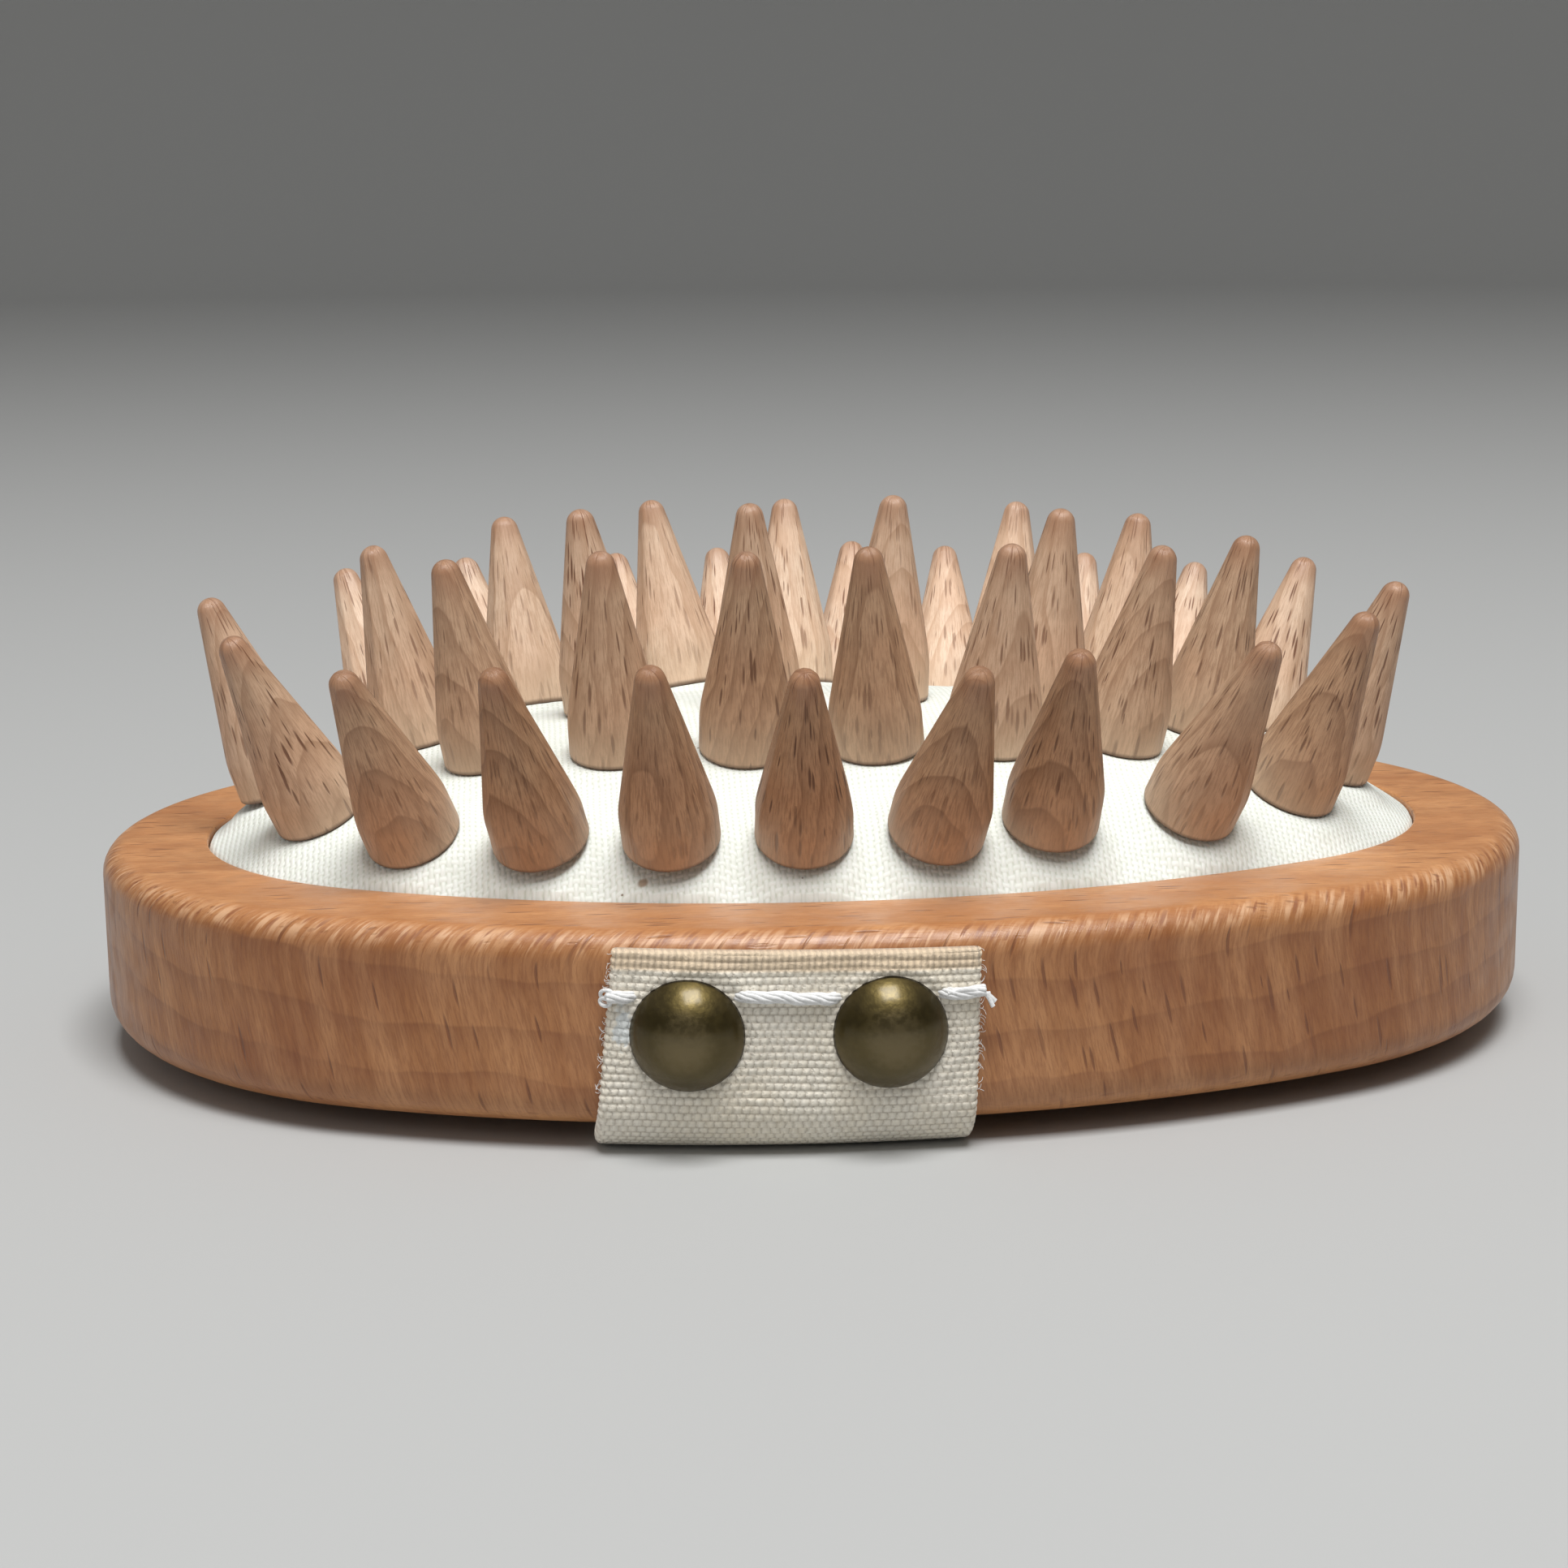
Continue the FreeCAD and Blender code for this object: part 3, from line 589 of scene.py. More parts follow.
webbing, tree, shader = new_material("cotton_webbing")
lay = carried(tree, "lay", "Vector")
where = split(tree, lay)
stain = clouded(tree, lay, 0.010, 0.0006)
rows = maths(tree, "DIVIDE", where["Y"], RIB)
brick = times(tree, maths(tree, "MODULO", maths(tree, "FLOOR", rows), 2.0), 0.5)
uneven = times(tree, maths(tree, "SUBTRACT", stain["Fine"], 0.5), 0.22)
shifted = maths(tree, "ADD", maths(tree, "DIVIDE", where["X"], 0.00072), brick)
plain_loop = humps(tree, maths(tree, "ADD", shifted, uneven))
hem_loop = humps(tree, maths(tree, "DIVIDE", where["X"], 0.00055))
hem = ramp(tree, where["Y"], 0.0013, 0.0017, 1.0, 0.0)
loop = maths(tree, "MULTIPLY_ADD", maths(tree, "SUBTRACT", hem_loop, plain_loop), hem, plain_loop)
row = humps(tree, rows)
shade_between_loops = times(tree, ramp(tree, loop, 0.0, 0.55, 0.45, 0.0), ramp(tree, row, 0.2, 0.9, 1.0, 0.6))
shade_between_rows = ramp(tree, row, 0.06, 0.40, 0.30, 0.0)
below_edge = ramp(tree, where["Y"], 0.0001, 0.0004)
smear = distance_from(tree, lay, GLUE, (1.0, 0.42, 0.0))
smear = maths(tree, "MULTIPLY_ADD", maths(tree, "SUBTRACT", stain["Fine"], 0.5), 0.0005, smear)
cloth = layered(
    tree, (0.86, 0.78, 0.63, 1),
    (stain["Wide"], (0.92, 0.86, 0.74, 1)),
    (times(tree, stain["Fine"], 0.3), (0.90, 0.87, 0.80, 1)),
    (times(tree, hem, 0.6), (0.84, 0.60, 0.36, 1)),
    # Painted shade in the hollows between the loops and between the rows, below the top edge.
    (times(tree, maths(tree, "MAXIMUM", shade_between_loops, shade_between_rows), below_edge), (0.36, 0.28, 0.19, 1)),
    (ramp(tree, smear, 0.0005, 0.0009, 0.7, 0.0), (0.78, 0.85, 0.88, 1)),
    (place_group(tree, specks, {"Place": lay})["Speck"], (0.12, 0.08, 0.05, 1)),
)
yarn_height = maths(tree, "MULTIPLY_ADD", loop, 0.8, times(tree, stain["Fine"], 0.35))
dress(tree, shader, cloth, ramp(tree, smear, 0.0005, 0.0009, 0.45, 0.88), yarn_height, 0.9, 0.00022)
shader["Sheen Weight"].default_value = 0.2

yarn, tree, shader = new_material("white_yarn")
stain = clouded(tree, own_place(tree), 0.004, 0.0003)
tint = blend_colours(tree, stain["Fine"], (0.74, 0.74, 0.73, 1), (0.88, 0.88, 0.88, 1))
dress(tree, shader, tint, 0.55, stain["Fine"], 0.4, 0.00005)
print("materials", webbing.name, "and", yarn.name)

# %% [markdown]
# The tacks are brass darkened in a bath and lacquered, and the clear lacquer gives them
# their soft highlight. The mesh carries climb, from 0 at the rim to 1 at the crown, where
# a little paler metal shows: partly rubbed brass, partly a painted highlight. Clouds of
# tarnish break its edge.

# %% Material: antique brass
brass, tree, shader = new_material("antique_brass")
climb = carried(tree, "climb")
stain = clouded(tree, own_place(tree), 0.0035, 0.0006)
worn_and_highlight = maths(tree, "ADD", climb, times(tree, stain["Fine"], 0.08))
metal = layered(
    tree, (0.088, 0.065, 0.021, 1),
    (stain["Wide"], (0.108, 0.080, 0.027, 1)),
    # Paler metal at the crown: partly rubbed brass, partly a painted highlight.
    (ramp(tree, worn_and_highlight, 0.72, 1.06, 0.0, 0.38), (0.30, 0.235, 0.13, 1)),
    (ramp(tree, climb, 0.0, 0.12, 0.6, 0.0), (0.04, 0.026, 0.012, 1)),
)
dress(tree, shader, metal, ramp(tree, stain["Fine"], 0.0, 1.0, 0.38, 0.47), stain["Fine"], 0.12, 0.0001)
for socket, value in (("Metallic", 1.0), ("Coat Weight", 0.45), ("Coat Roughness", 0.20)):
    shader[socket].default_value = value
print("material", brass.name)

# %% [markdown]
# This helper turns a grid into a mesh, gives it the numbers that its material reads, and
# tidies the seam and the poles: where points of a grid coincide they are merged, so the
# skin is closed.

# %% Helper: a skin over a grid of points
def merge_and_turn(mesh, closed):
    """Points that coincide become one. On a closed skin, faces are then turned outward."""
    work = bmesh.new()
    work.from_mesh(mesh)
    bmesh.ops.remove_doubles(work, verts=work.verts, dist=1e-7)
    if closed:
        bmesh.ops.recalc_face_normals(work, faces=work.faces)
    work.to_mesh(mesh)
    work.free()


def skin(name, grids, material, body=None, carries=None, ring=True, closed=True):
    """One mesh over one or more equal grids of points, each rows x columns x 3, in metres.
    carries gives numbers or vectors for each point. A ring's last column joins its first."""
    grids = np.asarray(grids, float)
    if grids.ndim == 3:
        grids = grids[None]
    count, rows, columns = grids.shape[:3]
    faces = quads_between(rows, columns, ring)
    shift = np.arange(count)[:, None, None] * rows * columns
    faces = (faces[None] + shift).reshape(-1, 4)
    mesh = bpy.data.meshes.new(name)
    mesh.from_pydata(grids.reshape(-1, 3).tolist(), [], faces.tolist())
    for label, values in (carries or {}).items():
        values = np.asarray(values, np.float32)
        three_each = values.size == grids.size
        kind, field = ("FLOAT_VECTOR", "vector") if three_each else ("FLOAT", "value")
        layer = mesh.attributes.new(label, kind, "POINT")
        layer.data.foreach_set(field, values.ravel())
    merge_and_turn(mesh, closed)
    mesh.shade_smooth()
    mesh.materials.append(material)
    piece = bpy.data.objects.new(name, mesh)
    bpy.context.scene.collection.objects.link(piece)
    if body:
        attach(piece, body)
    return piece


def triangles(piece):
    """How many triangles the piece's faces make."""
    sides = np.empty(len(piece.data.polygons), int)
    piece.data.polygons.foreach_get("loop_total", sides)
    return int((sides - 2).sum())


print("skin helper ready")

# %% [markdown]
# An oval of four tangent arcs is best described by the direction that its edge faces.
# Wherever the edge faces within the end arcs' share of the turn, the point is the end
# arc's centre plus its radius in that direction, and elsewhere the side arc's. Ovals
# that are offset by a few millimetres then share one set of directions, so a profile can
# be carried round them without twisting.

# %% The oval
def side_radius(a, b, end):
    """The side arcs' radius: tangent to the end arcs and passing the half width."""
    return ((a - end) ** 2 + b ** 2 - end ** 2) / (2 * (b - end))


def oval(a, b, end, turn):
    """Where an oval's edge faces each direction in turn: an arc's centre plus its radius
    times that direction. Returns x and y."""
    side = side_radius(a, b, end)
    centre_x, centre_y = a - end, side - b
    corner = np.arctan2(centre_y, centre_x)
    face_x, face_y = np.cos(turn), np.sin(turn)
    on_end = np.abs(face_x) > np.cos(corner)
    x = np.where(on_end, np.sign(face_x) * centre_x + end * face_x, side * face_x)
    y = np.where(on_end, end * face_y, side * face_y - np.sign(face_y) * centre_y)
    return x, y


def even_turns(a, b, end, steps):
    """The directions at points spaced evenly round the oval: its length so far is read
    backwards at even lengths."""
    dense = np.linspace(0, 2 * np.pi, 20001)
    x, y = oval(a, b, end, dense)
    length = np.concatenate([[0], np.cumsum(np.hypot(np.diff(x), np.diff(y)))])
    return np.interp(np.arange(steps) / steps * length[-1], length, dense), length[-1]


BLOCK_STEPS = 720
OUTER = (HALF_LENGTH, HALF_WIDTH, END_RADIUS)
TURNS, GIRTH = even_turns(*OUTER, BLOCK_STEPS)
print("girth of the block", round(GIRTH, 4), "m")

# %% [markdown]
# The block was cut out, hollowed for the cushion and rounded over with a cutter. Its
# profile starts under the middle, goes out and up the side, over the rim, down into the
# hollow with its groove, and back to the middle. Each station is an oval, a share of its
# size and a height, and the whole is closed at two poles.

# %% The block's profile
def station(oval_sizes, inset, share, height):
    """One ring of the block: an oval drawn in by inset, scaled by share, at a height."""
    a, b, end = oval_sizes
    x, y = oval(a - inset, b - inset, end - inset, TURNS)
    return points(x * share, y * share, height)


ROUND_STEPS = 8
quarter = np.linspace(0, np.pi / 2, ROUND_STEPS + 1)
soft_edge = 0.35 * MM
hollow_depth = 10.5
underside = [station(OUTER, BASE_ROUND, share, BASE) for share in (0, 0.3, 0.6, 0.85)]
base_round = [station(OUTER, BASE_ROUND * (1 - np.sin(t)), 1, BASE + BASE_ROUND * (1 - np.cos(t)))
              for t in quarter]
wall = [station(OUTER, 0, 1, z) for z in np.linspace(BASE + BASE_ROUND, RIM - TOP_ROUND, 22)[1:-1]]
top_round = [station(OUTER, TOP_ROUND * (1 - np.cos(t)), 1, RIM - TOP_ROUND * (1 - np.sin(t)))
             for t in quarter]
outer_edge, inner_edge = top_round[-1], station(OPENING, -soft_edge, 1, RIM)
flat_rim = [outer_edge + (inner_edge - outer_edge) * share for share in np.linspace(0, 1, 12)[1:]]
lip = [station(OPENING, -soft_edge * (1 - np.sin(t)), 1, RIM - soft_edge * (1 - np.cos(t)))
       for t in quarter[2::2]]
groove = [(0, 3.4), (-2, 3.4), (-2, 5.6), (0, 5.6), (0, hollow_depth)]
hollow = [station(OPENING, reach * MM, 1, RIM - depth * MM) for reach, depth in groove]
floor = [station(OPENING, 0, share, RIM - hollow_depth * MM) for share in (0.7, 0.35, 0)]
block_rings = np.array(underside + base_round + wall + top_round + flat_rim + lip + hollow + floor)
print("block profile of", len(block_rings), "stations")

# %% [markdown]
# The grain needs two extra numbers at each point. Facing grows over the rounded edges,
# from 0 on the side to 1 on the rim and the underside. Wrap rolls the side's surface
# onto a round drum of the same girth, which has no seam. It leans the strokes one way on
# the side and the other way over the rounded edge, and turns softly between the two: the
# log of one plus an exponential grows from nothing to a straight slope.

# %% The block
step = np.linalg.norm(np.diff(block_rings, axis=0), axis=2).mean(axis=1)
travel = np.concatenate([[0], np.cumsum(step)])[:, None]
first_top = len(underside + base_round + wall)
first_wall = len(underside + base_round) - 1
order = np.arange(len(block_rings))
past_wall = np.maximum(order - first_top, first_wall - order) / ROUND_STEPS
facing = smooth(past_wall, 0, 1)[:, None] * np.ones((1, BLOCK_STEPS))
drum = GIRTH / (2 * np.pi)
past = travel - travel[first_top]
SIDE_LEAN, LEAN_CHANGE, CHANGE_OVER = 0.22, 0.97, 0.8 * MM
turned = np.log1p(np.exp(np.clip(past / CHANGE_OVER, -40, 40))) * CHANGE_OVER
around = full_turn(BLOCK_STEPS) + (SIDE_LEAN * past - LEAN_CHANGE * turned) / drum
wrap = points(drum * np.cos(around), drum * np.sin(around), travel)
block = skin("beech_block", block_rings, varnished, "root",
             {"facing": facing, "wrap": wrap})
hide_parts("wooden_body")
print("block:", triangles(block), "triangles")

# %% [markdown]
# Each pin is turned: a profile of radius against height, spun about the pin's axis. The
# straight foot of the cone blends softly into the taper, the tip is a small ball, and
# under the cushion a neck and a wide foot hold the pin. The lathe and the sandpaper leave
# the cone a hair out of round.

# %% The pins' profile
tip_radius, straight, edge_round = 1.35 * MM, 3.8 * MM, 0.35 * MM
tip_centre = PIN_LENGTH - tip_radius
run = np.hypot(PIN_RADIUS, tip_centre - straight)
taper = np.arccos(tip_radius / run) - np.arctan2(tip_centre - straight, PIN_RADIUS)
touch = np.array([tip_radius * np.cos(taper), tip_centre + tip_radius * np.sin(taper)])
shoulder = np.array([PIN_RADIUS, straight])
ease = np.linspace(0, 1, 9)[:, None]
below, above = shoulder - (0, 0.9 * MM), shoulder + (touch - shoulder) * 0.08
curve = (1 - ease) ** 2 * below + 2 * ease * (1 - ease) * shoulder + ease ** 2 * above
round_in = np.linspace(-np.pi / 2, 0, 5)[:, None]
base_edge = np.array([PIN_RADIUS - edge_round, edge_round])
base_edge = base_edge + edge_round * np.hstack([np.cos(round_in), np.sin(round_in)])
round_up = np.linspace(taper, np.pi / 2, 9)[:, None]
ball = np.array([0, tip_centre]) + tip_radius * np.hstack([np.cos(round_up), np.sin(round_up)])
cone = curve[-1] + (touch - curve[-1]) * np.linspace(0, 1, 17)[1:-1, None]
foot_and_neck = np.array([(0, -4.5), (3.1, -4.5), (3.1, -3.1), (1.6, -3.1), (1.6, 0)]) * MM
pin_profile = np.vstack([foot_and_neck, base_edge, curve, cone, ball])
print("pin profile of", len(pin_profile), "points")

# %% [markdown]
# A part that is turned stands along its own axis, so its profile is spun about an upright
# line and then carried into three directions: two square to the axis, and the axis. The
# axis comes from the pin's own joint, and the base from its tip, one pin length back.
# Chance numbers, started anew for each pin, choose its flats, its grain and its tone. The
# tone also grows paler from the near pins to the far ones; that share is painted light
# and shade, the far pins lit and the near ones shaded.

# %% The pins
def frame_along(axis):
    """Two unit directions square to the axis and to each other."""
    axis = axis / np.linalg.norm(axis)
    helper = np.array([0.0, 1.0, 0.0]) if abs(axis[1]) < 0.9 else np.array([1.0, 0.0, 0.0])
    first = np.cross(helper, axis)
    first /= np.linalg.norm(first)
    return first, np.cross(axis, first), axis


def node_points(name):
    """A CAD node's own points."""
    mesh = frame["nodes"][name].data
    numbers = np.empty(len(mesh.vertices) * 3)
    mesh.vertices.foreach_get("co", numbers)
    return numbers.reshape(-1, 3)


SPIN_STEPS = 72
spin = full_turn(SPIN_STEPS)
up = pin_profile[:, 1, None]
pin_seats = []
for number, joint in enumerate(j for j in frame["joints"] if j["name"].startswith("press_")):
    name = joint["child"]
    chance = np.random.default_rng(100 + number)
    first, second, axis = frame_along(np.array(joint["axis"], float))
    cloud = node_points(name)
    seat = cloud[np.argmax(cloud @ axis)] - axis * PIN_LENGTH
    pin_seats.append((seat, axis))
    flats = chance.integers(9, 13)
    corner = (spin + chance.uniform(0, 1)) % (2 * np.pi / flats) - np.pi / flats
    facets = chance.uniform(0.35, 1.0) * (np.cos(np.pi / flats) / np.cos(corner) - 1)
    local = spun(pin_profile, SPIN_STEPS, 1 + facets * np.clip(up / straight, 0, 1))
    surface = seat + local @ np.array([first, second, axis])
    about = chance.uniform(0, 2 * np.pi)
    tilt_x, tilt_y = chance.uniform(0.05, 0.22), chance.uniform(-0.08, 0.08)
    turned_x = local[..., 0] * np.cos(about) + local[..., 1] * np.sin(about)
    turned_y = local[..., 1] * np.cos(about) - local[..., 0] * np.sin(about)
    grain = points(turned_x + tilt_x * up, turned_y + tilt_y * up, up) + chance.uniform(1, 3, 3)
    # The share that grows with y is painted light and shade, paler far and darker near; the chance share is
    # the wood's own tone.
    shade = 0.55 + 0.018 * seat[1] / MM + chance.normal(0, 0.12)
    tone_and_light = np.full(local.shape[:2], np.clip(shade, 0, 1))
    dashes = np.full(local.shape[:2], chance.uniform(0.35, 0.95))
    climb = up / PIN_LENGTH + 0 * spin
    drum = points(PIN_RADIUS * np.cos(spin), PIN_RADIUS * np.sin(spin), up) + chance.uniform(1, 3, 3)
    pin = skin("wood_" + name, surface, raw, name,
               {"grain": grain, "drum": drum, "tone_and_light": tone_and_light, "climb": climb, "dashes": dashes})
    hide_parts(name)
pin_seats = np.array(pin_seats)
print(len(pin_seats), "pins of", triangles(pin), "triangles each")

# %% [markdown]
# The cushion is canvas over a rubber sheet, domed and tucked into the block's groove.
# Its rings are the opening's oval at growing shares, and the height is the dome's: an
# ellipsoid cut by the rim. Near the edge the cloth is lifted to meet the rim evenly,
# then dives into the groove. The rings crowd toward the edge, where the shape turns most,
# by taking their shares from a sine. Under each pin the cloth swells up against the pin's
# base: there the height is raised toward the base's plane, and the swelling fades out.

# %% The dome
DOME_HEIGHT, DOME_SHARE = 11.8 * MM, 0.93
cosine = np.sqrt(1 - DOME_SHARE ** 2)
dome_z = DOME_HEIGHT / (1 - cosine)
dome_x, dome_y = OPENING[0] / DOME_SHARE, OPENING[1] / DOME_SHARE


def dome(x, y):
    """The ellipsoid's height: its centre's plus its upright half axis times the root of
    one less the squared shares of the other two."""
    return RIM - dome_z * cosine + dome_z * np.sqrt(1 - (x / dome_x) ** 2 - (y / dome_y) ** 2)


around, _ = even_turns(*OPENING, 520)
EDGE_GAP, EDGE_DROP, LIFT_FROM = 0.4 * MM, 0.25 * MM, 0.72
edge_x, edge_y = oval(*(size - EDGE_GAP for size in OPENING), around)
crowding = np.pi / 2 * 0.8
shares = np.sin(np.linspace(0, 1, 76) * crowding) / np.sin(crowding)
x, y = shares[:, None] * edge_x, shares[:, None] * edge_y
height = dome(x, y)
lift = RIM - EDGE_DROP - height[-1]
height = height + lift * smooth(shares, LIFT_FROM, 1.0)[:, None]
print("the dome is lifted by up to", round(float(np.abs(lift).max()), 5), "m at its edge")

# %% The swellings under the pins
SWELL_INNER, SWELL_OUTER, SWELL_MOST, BELOW_BASE = 4.4 * MM, 6.4 * MM, 0.8 * MM, 0.06 * MM
seats, axes = pin_seats[:, 0], pin_seats[:, 1]
gap_x = x[..., None] - seats[:, 0]
gap_y = y[..., None] - seats[:, 1]
plane = seats[:, 2] - (gap_x * axes[:, 0] + gap_y * axes[:, 1]) / axes[:, 2] - BELOW_BASE
hold = 1 - smooth(np.hypot(gap_x, gap_y), SWELL_INNER, SWELL_OUTER)
height = height + (hold * np.clip(plane - height[..., None], 0, SWELL_MOST)).max(axis=2)
tuck = [points(*oval(*(size - gap * MM for size in OPENING), around), RIM - drop * MM)
        for gap, drop in ((0.12, 0.8), (0.08, 2.6))]
canvas_rings = np.concatenate([points(x, y, height), tuck])
print("canvas rises", round(float(height.max() - RIM), 4), "m over the rim")

# %% [markdown]
# The pins' necks pass through the cloth, so the cells of the grid there are left out.
# Solidify then gives the cloth its thickness downward, which leaves the outside where it
# is.

# %% The canvas
def open_holes(piece, centres, directions, radius):
    """Faces whose middle is within radius of a pin's axis are removed."""
    work = bmesh.new()
    work.from_mesh(piece.data)
    middles = np.array([face.calc_center_median() for face in work.faces])
    away = middles[:, None] - centres
    along = (away * directions).sum(axis=2, keepdims=True)
    distance = np.linalg.norm(away - along * directions, axis=2).min(axis=1)
    doomed = [face for face, near in zip(work.faces, distance < radius) if near]
    bmesh.ops.delete(work, geom=doomed, context="FACES")
    work.to_mesh(piece.data)
    work.free()


canvas = skin("canvas_cushion", canvas_rings[::-1], canvas_cloth, "root", closed=False)
HOLE_RADIUS = 2.3 * MM
open_holes(canvas, seats, axes, HOLE_RADIUS)
if np.mean([face.normal.z for face in canvas.data.polygons]) < 0:
    canvas.data.flip_normals()
shell = canvas.modifiers.new("thickness", "SOLIDIFY")
shell.thickness = 0.6 * MM
shell.offset = -1
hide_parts("cushion_cover")
frame["nodes"]["cushion_rubber"].data.materials.clear()
frame["nodes"]["cushion_rubber"].data.materials.append(latex)
print("canvas:", triangles(canvas), "triangles before its thickness")

# %% [markdown]
# The strap is one length of webbing in four pieces, because its ends are fixed to the
# block and its middle drops away under the hand. Each piece is a cross-section with
# rounded selvedges carried along the cloth. The path runs down the block's side, round
# its base and in under it, and its place is found from three numbers: how far along the
# cloth, how far across, and how deep from the inner face.

# %% The strap's path
SIDES = (("near", -1), ("far", 1))
STRAP_LOW, STRAP_HIGH = (np.array(corner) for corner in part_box("strap_near_end"))
SPAN_LOW, SPAN_HIGH = (np.array(corner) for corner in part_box("strap_span"))
STRAP_MIDDLE = (STRAP_LOW[0] + STRAP_HIGH[0]) / 2
STRAP_WIDTH = STRAP_HIGH[0] - STRAP_LOW[0]
THICK = SPAN_HIGH[2] - SPAN_LOW[2]
SIDE = side_radius(*OUTER)
SIDE_CENTRE = SIDE - HALF_WIDTH
STRAP_TOP = STRAP_HIGH[2]
JOIN = -STRAP_HIGH[1] + 0.15 * MM
BEND = BASE + BASE_ROUND - THICK
LEVEL = BASE + BASE_ROUND
DOWN = STRAP_TOP - LEVEL
CORNER = (BEND + THICK / 2) * np.pi / 2
UNDER = HALF_WIDTH - BEND - JOIN
END_LENGTH = DOWN + CORNER + UNDER
print("strap", STRAP_WIDTH, "wide and", THICK, "thick; an end is", END_LENGTH, "m long")


def strap_place(along, across, deep, sign):
    """A point of a strap end. On the side: straight down at the side arc's radius plus
    the depth. At the base: round a quarter circle. Under the block: level, closing from
    the arc onto the straight end. across is the world's x, and sign is -1 for near."""
    turn = np.clip((along - DOWN) / CORNER, 0, 1) * np.pi / 2
    radius = np.where(along < DOWN, SIDE + deep, SIDE - BEND + (BEND + deep) * np.cos(turn))
    z = np.where(along < DOWN, STRAP_TOP - along, LEVEL - (BEND + deep) * np.sin(turn))
    y = np.sqrt(radius ** 2 - across ** 2) - SIDE_CENTRE
    inward = np.clip((along - DOWN - CORNER) / UNDER, 0, 1)
    y = y + (JOIN - y) * inward
    return points(across, sign * y, z)


# %% [markdown]
# A rib is a row of yarn over an elastic cord, so across the ribs the cloth's surface is a
# run of rounded humps: the absolute sine to a power below one. The selvedge bulges a
# little at each rib where the yarn turns back.

# %% The strap's cross-section
TACK_STEP = 16.6 * MM
TACK_Z = BASE + 8.9 * MM
tack_middles = [STRAP_MIDDLE - TACK_STEP / 2, STRAP_MIDDLE + TACK_STEP / 2]
FLAT_SHARE, SELVEDGE_STEPS = 0.965, 5


def section(face_steps):
    """Across shares from -1 to 1 and depth shares from 0, inner, to 1, outer, round the
    cloth's cross-section: outer face, rounded selvedge, inner face, rounded selvedge."""
    flat = np.linspace(-FLAT_SHARE, FLAT_SHARE, face_steps)
    turn = np.linspace(np.pi / 2, -np.pi / 2, SELVEDGE_STEPS + 2)[1:-1]
    selvedge = FLAT_SHARE + (1 - FLAT_SHARE) * np.cos(turn)
    across = np.concatenate([flat, selvedge, flat[::-1], -selvedge])
    depth = np.concatenate([np.ones(face_steps), 0.5 + 0.5 * np.sin(turn),
                            np.zeros(face_steps), 0.5 - 0.5 * np.sin(turn)])
    return across, depth


def ribbed(along, across_share, depth_share, phase, inner_ribs):
    """Across and depth of each point with the ribs on: rows down, section across. The ribs
    wander a little, as a sine that starts at phase."""
    wander = 0.10 * MM * np.sin(across_share * 5.1 + along[:, None] * 300 + phase)
    hump = np.abs(np.sin(np.pi * (along[:, None] + wander) / RIB)) ** 0.6
    valley = 0.13 * MM * (1 - hump)
    outer = np.clip(depth_share * 2 - 1, 0, 1)
    inner = np.clip(1 - depth_share * 2, 0, 1) * inner_ribs
    deep = THICK * depth_share - valley * outer + valley * inner
    turned = np.clip((np.abs(across_share) - FLAT_SHARE) / (1 - FLAT_SHARE), 0, 1)
    across = across_share * STRAP_WIDTH / 2 - np.sign(across_share) * turned * 0.20 * MM * (1 - hump)
    return STRAP_MIDDLE + across, deep


print("ribs", RIB, "m apart, tacks", TACK_STEP, "m apart")

# %% [markdown]
# The webbing was cut to length and tacked on a little crooked. One helper presses a
# cross-section shut, as at a cut. The last lays the cloth askew.

# %% Laying the webbing
def pressed(row):
    """A cross-section pressed flat onto its own middle line, which closes the cloth there:
    the mean of each point and the one opposite it on the other face."""
    return (row + np.roll(row[:, ::-1], -SELVEDGE_STEPS, axis=1)) / 2


def webbing_piece(name, surface, along, across, depth_share, body):
    """A strap piece from its rows of cross-sections, pressed shut at both ends. Its lay is
    how far across and along the whole cloth each point is, and how deep in it."""
    surface = np.concatenate([pressed(surface[:1]), surface, pressed(surface[-1:])])
    along = np.concatenate([along[:1], along, along[-1:]])[:, None]
    across = np.concatenate([across[:1], across, across[-1:]])
    lay = points(across, along, depth_share * THICK)
    piece = skin(name, surface, webbing, body, {"lay": lay})
    return piece


def askew(along, across):
    """The strap was tacked on a little crooked. Across is drawn in by a fiftieth at the
    top, spreads and drifts as it falls down the side, along starts a little lower at
    the right, and all of that fades out under the block. Returns along and across."""
    settled = DOWN + CORNER * 0.6
    fade = 1 - smooth(along, settled, END_LENGTH)
    drop = np.minimum(along, settled)
    drift = (0.85 * MM - 0.065 * drop) * fade
    offset = across - STRAP_MIDDLE
    spread = 1 + (0.0024 * drop / MM - 0.02) * fade
    return along + 0.015 * offset * fade, STRAP_MIDDLE + offset * spread + drift


edges = [askew(0, STRAP_MIDDLE + edge * STRAP_WIDTH / 2)[1] for edge in (-1, 1)]
print("the strap's top edge is", round(float(edges[1] - edges[0]), 5), "m wide")

# %% [markdown]
# A fixed end is tacked to the side. Its outer face has the ribs, and its inner face lies
# flat on the wood. Round each tack its outer face is raised in a low ring, a bell curve
# of the distance from the tack's middle.

# %% The strap's fixed ends
PUFF_HEIGHT, PUFF_RING, PUFF_SPREAD = 0.16 * MM, 5.5 * MM, 0.6 * MM


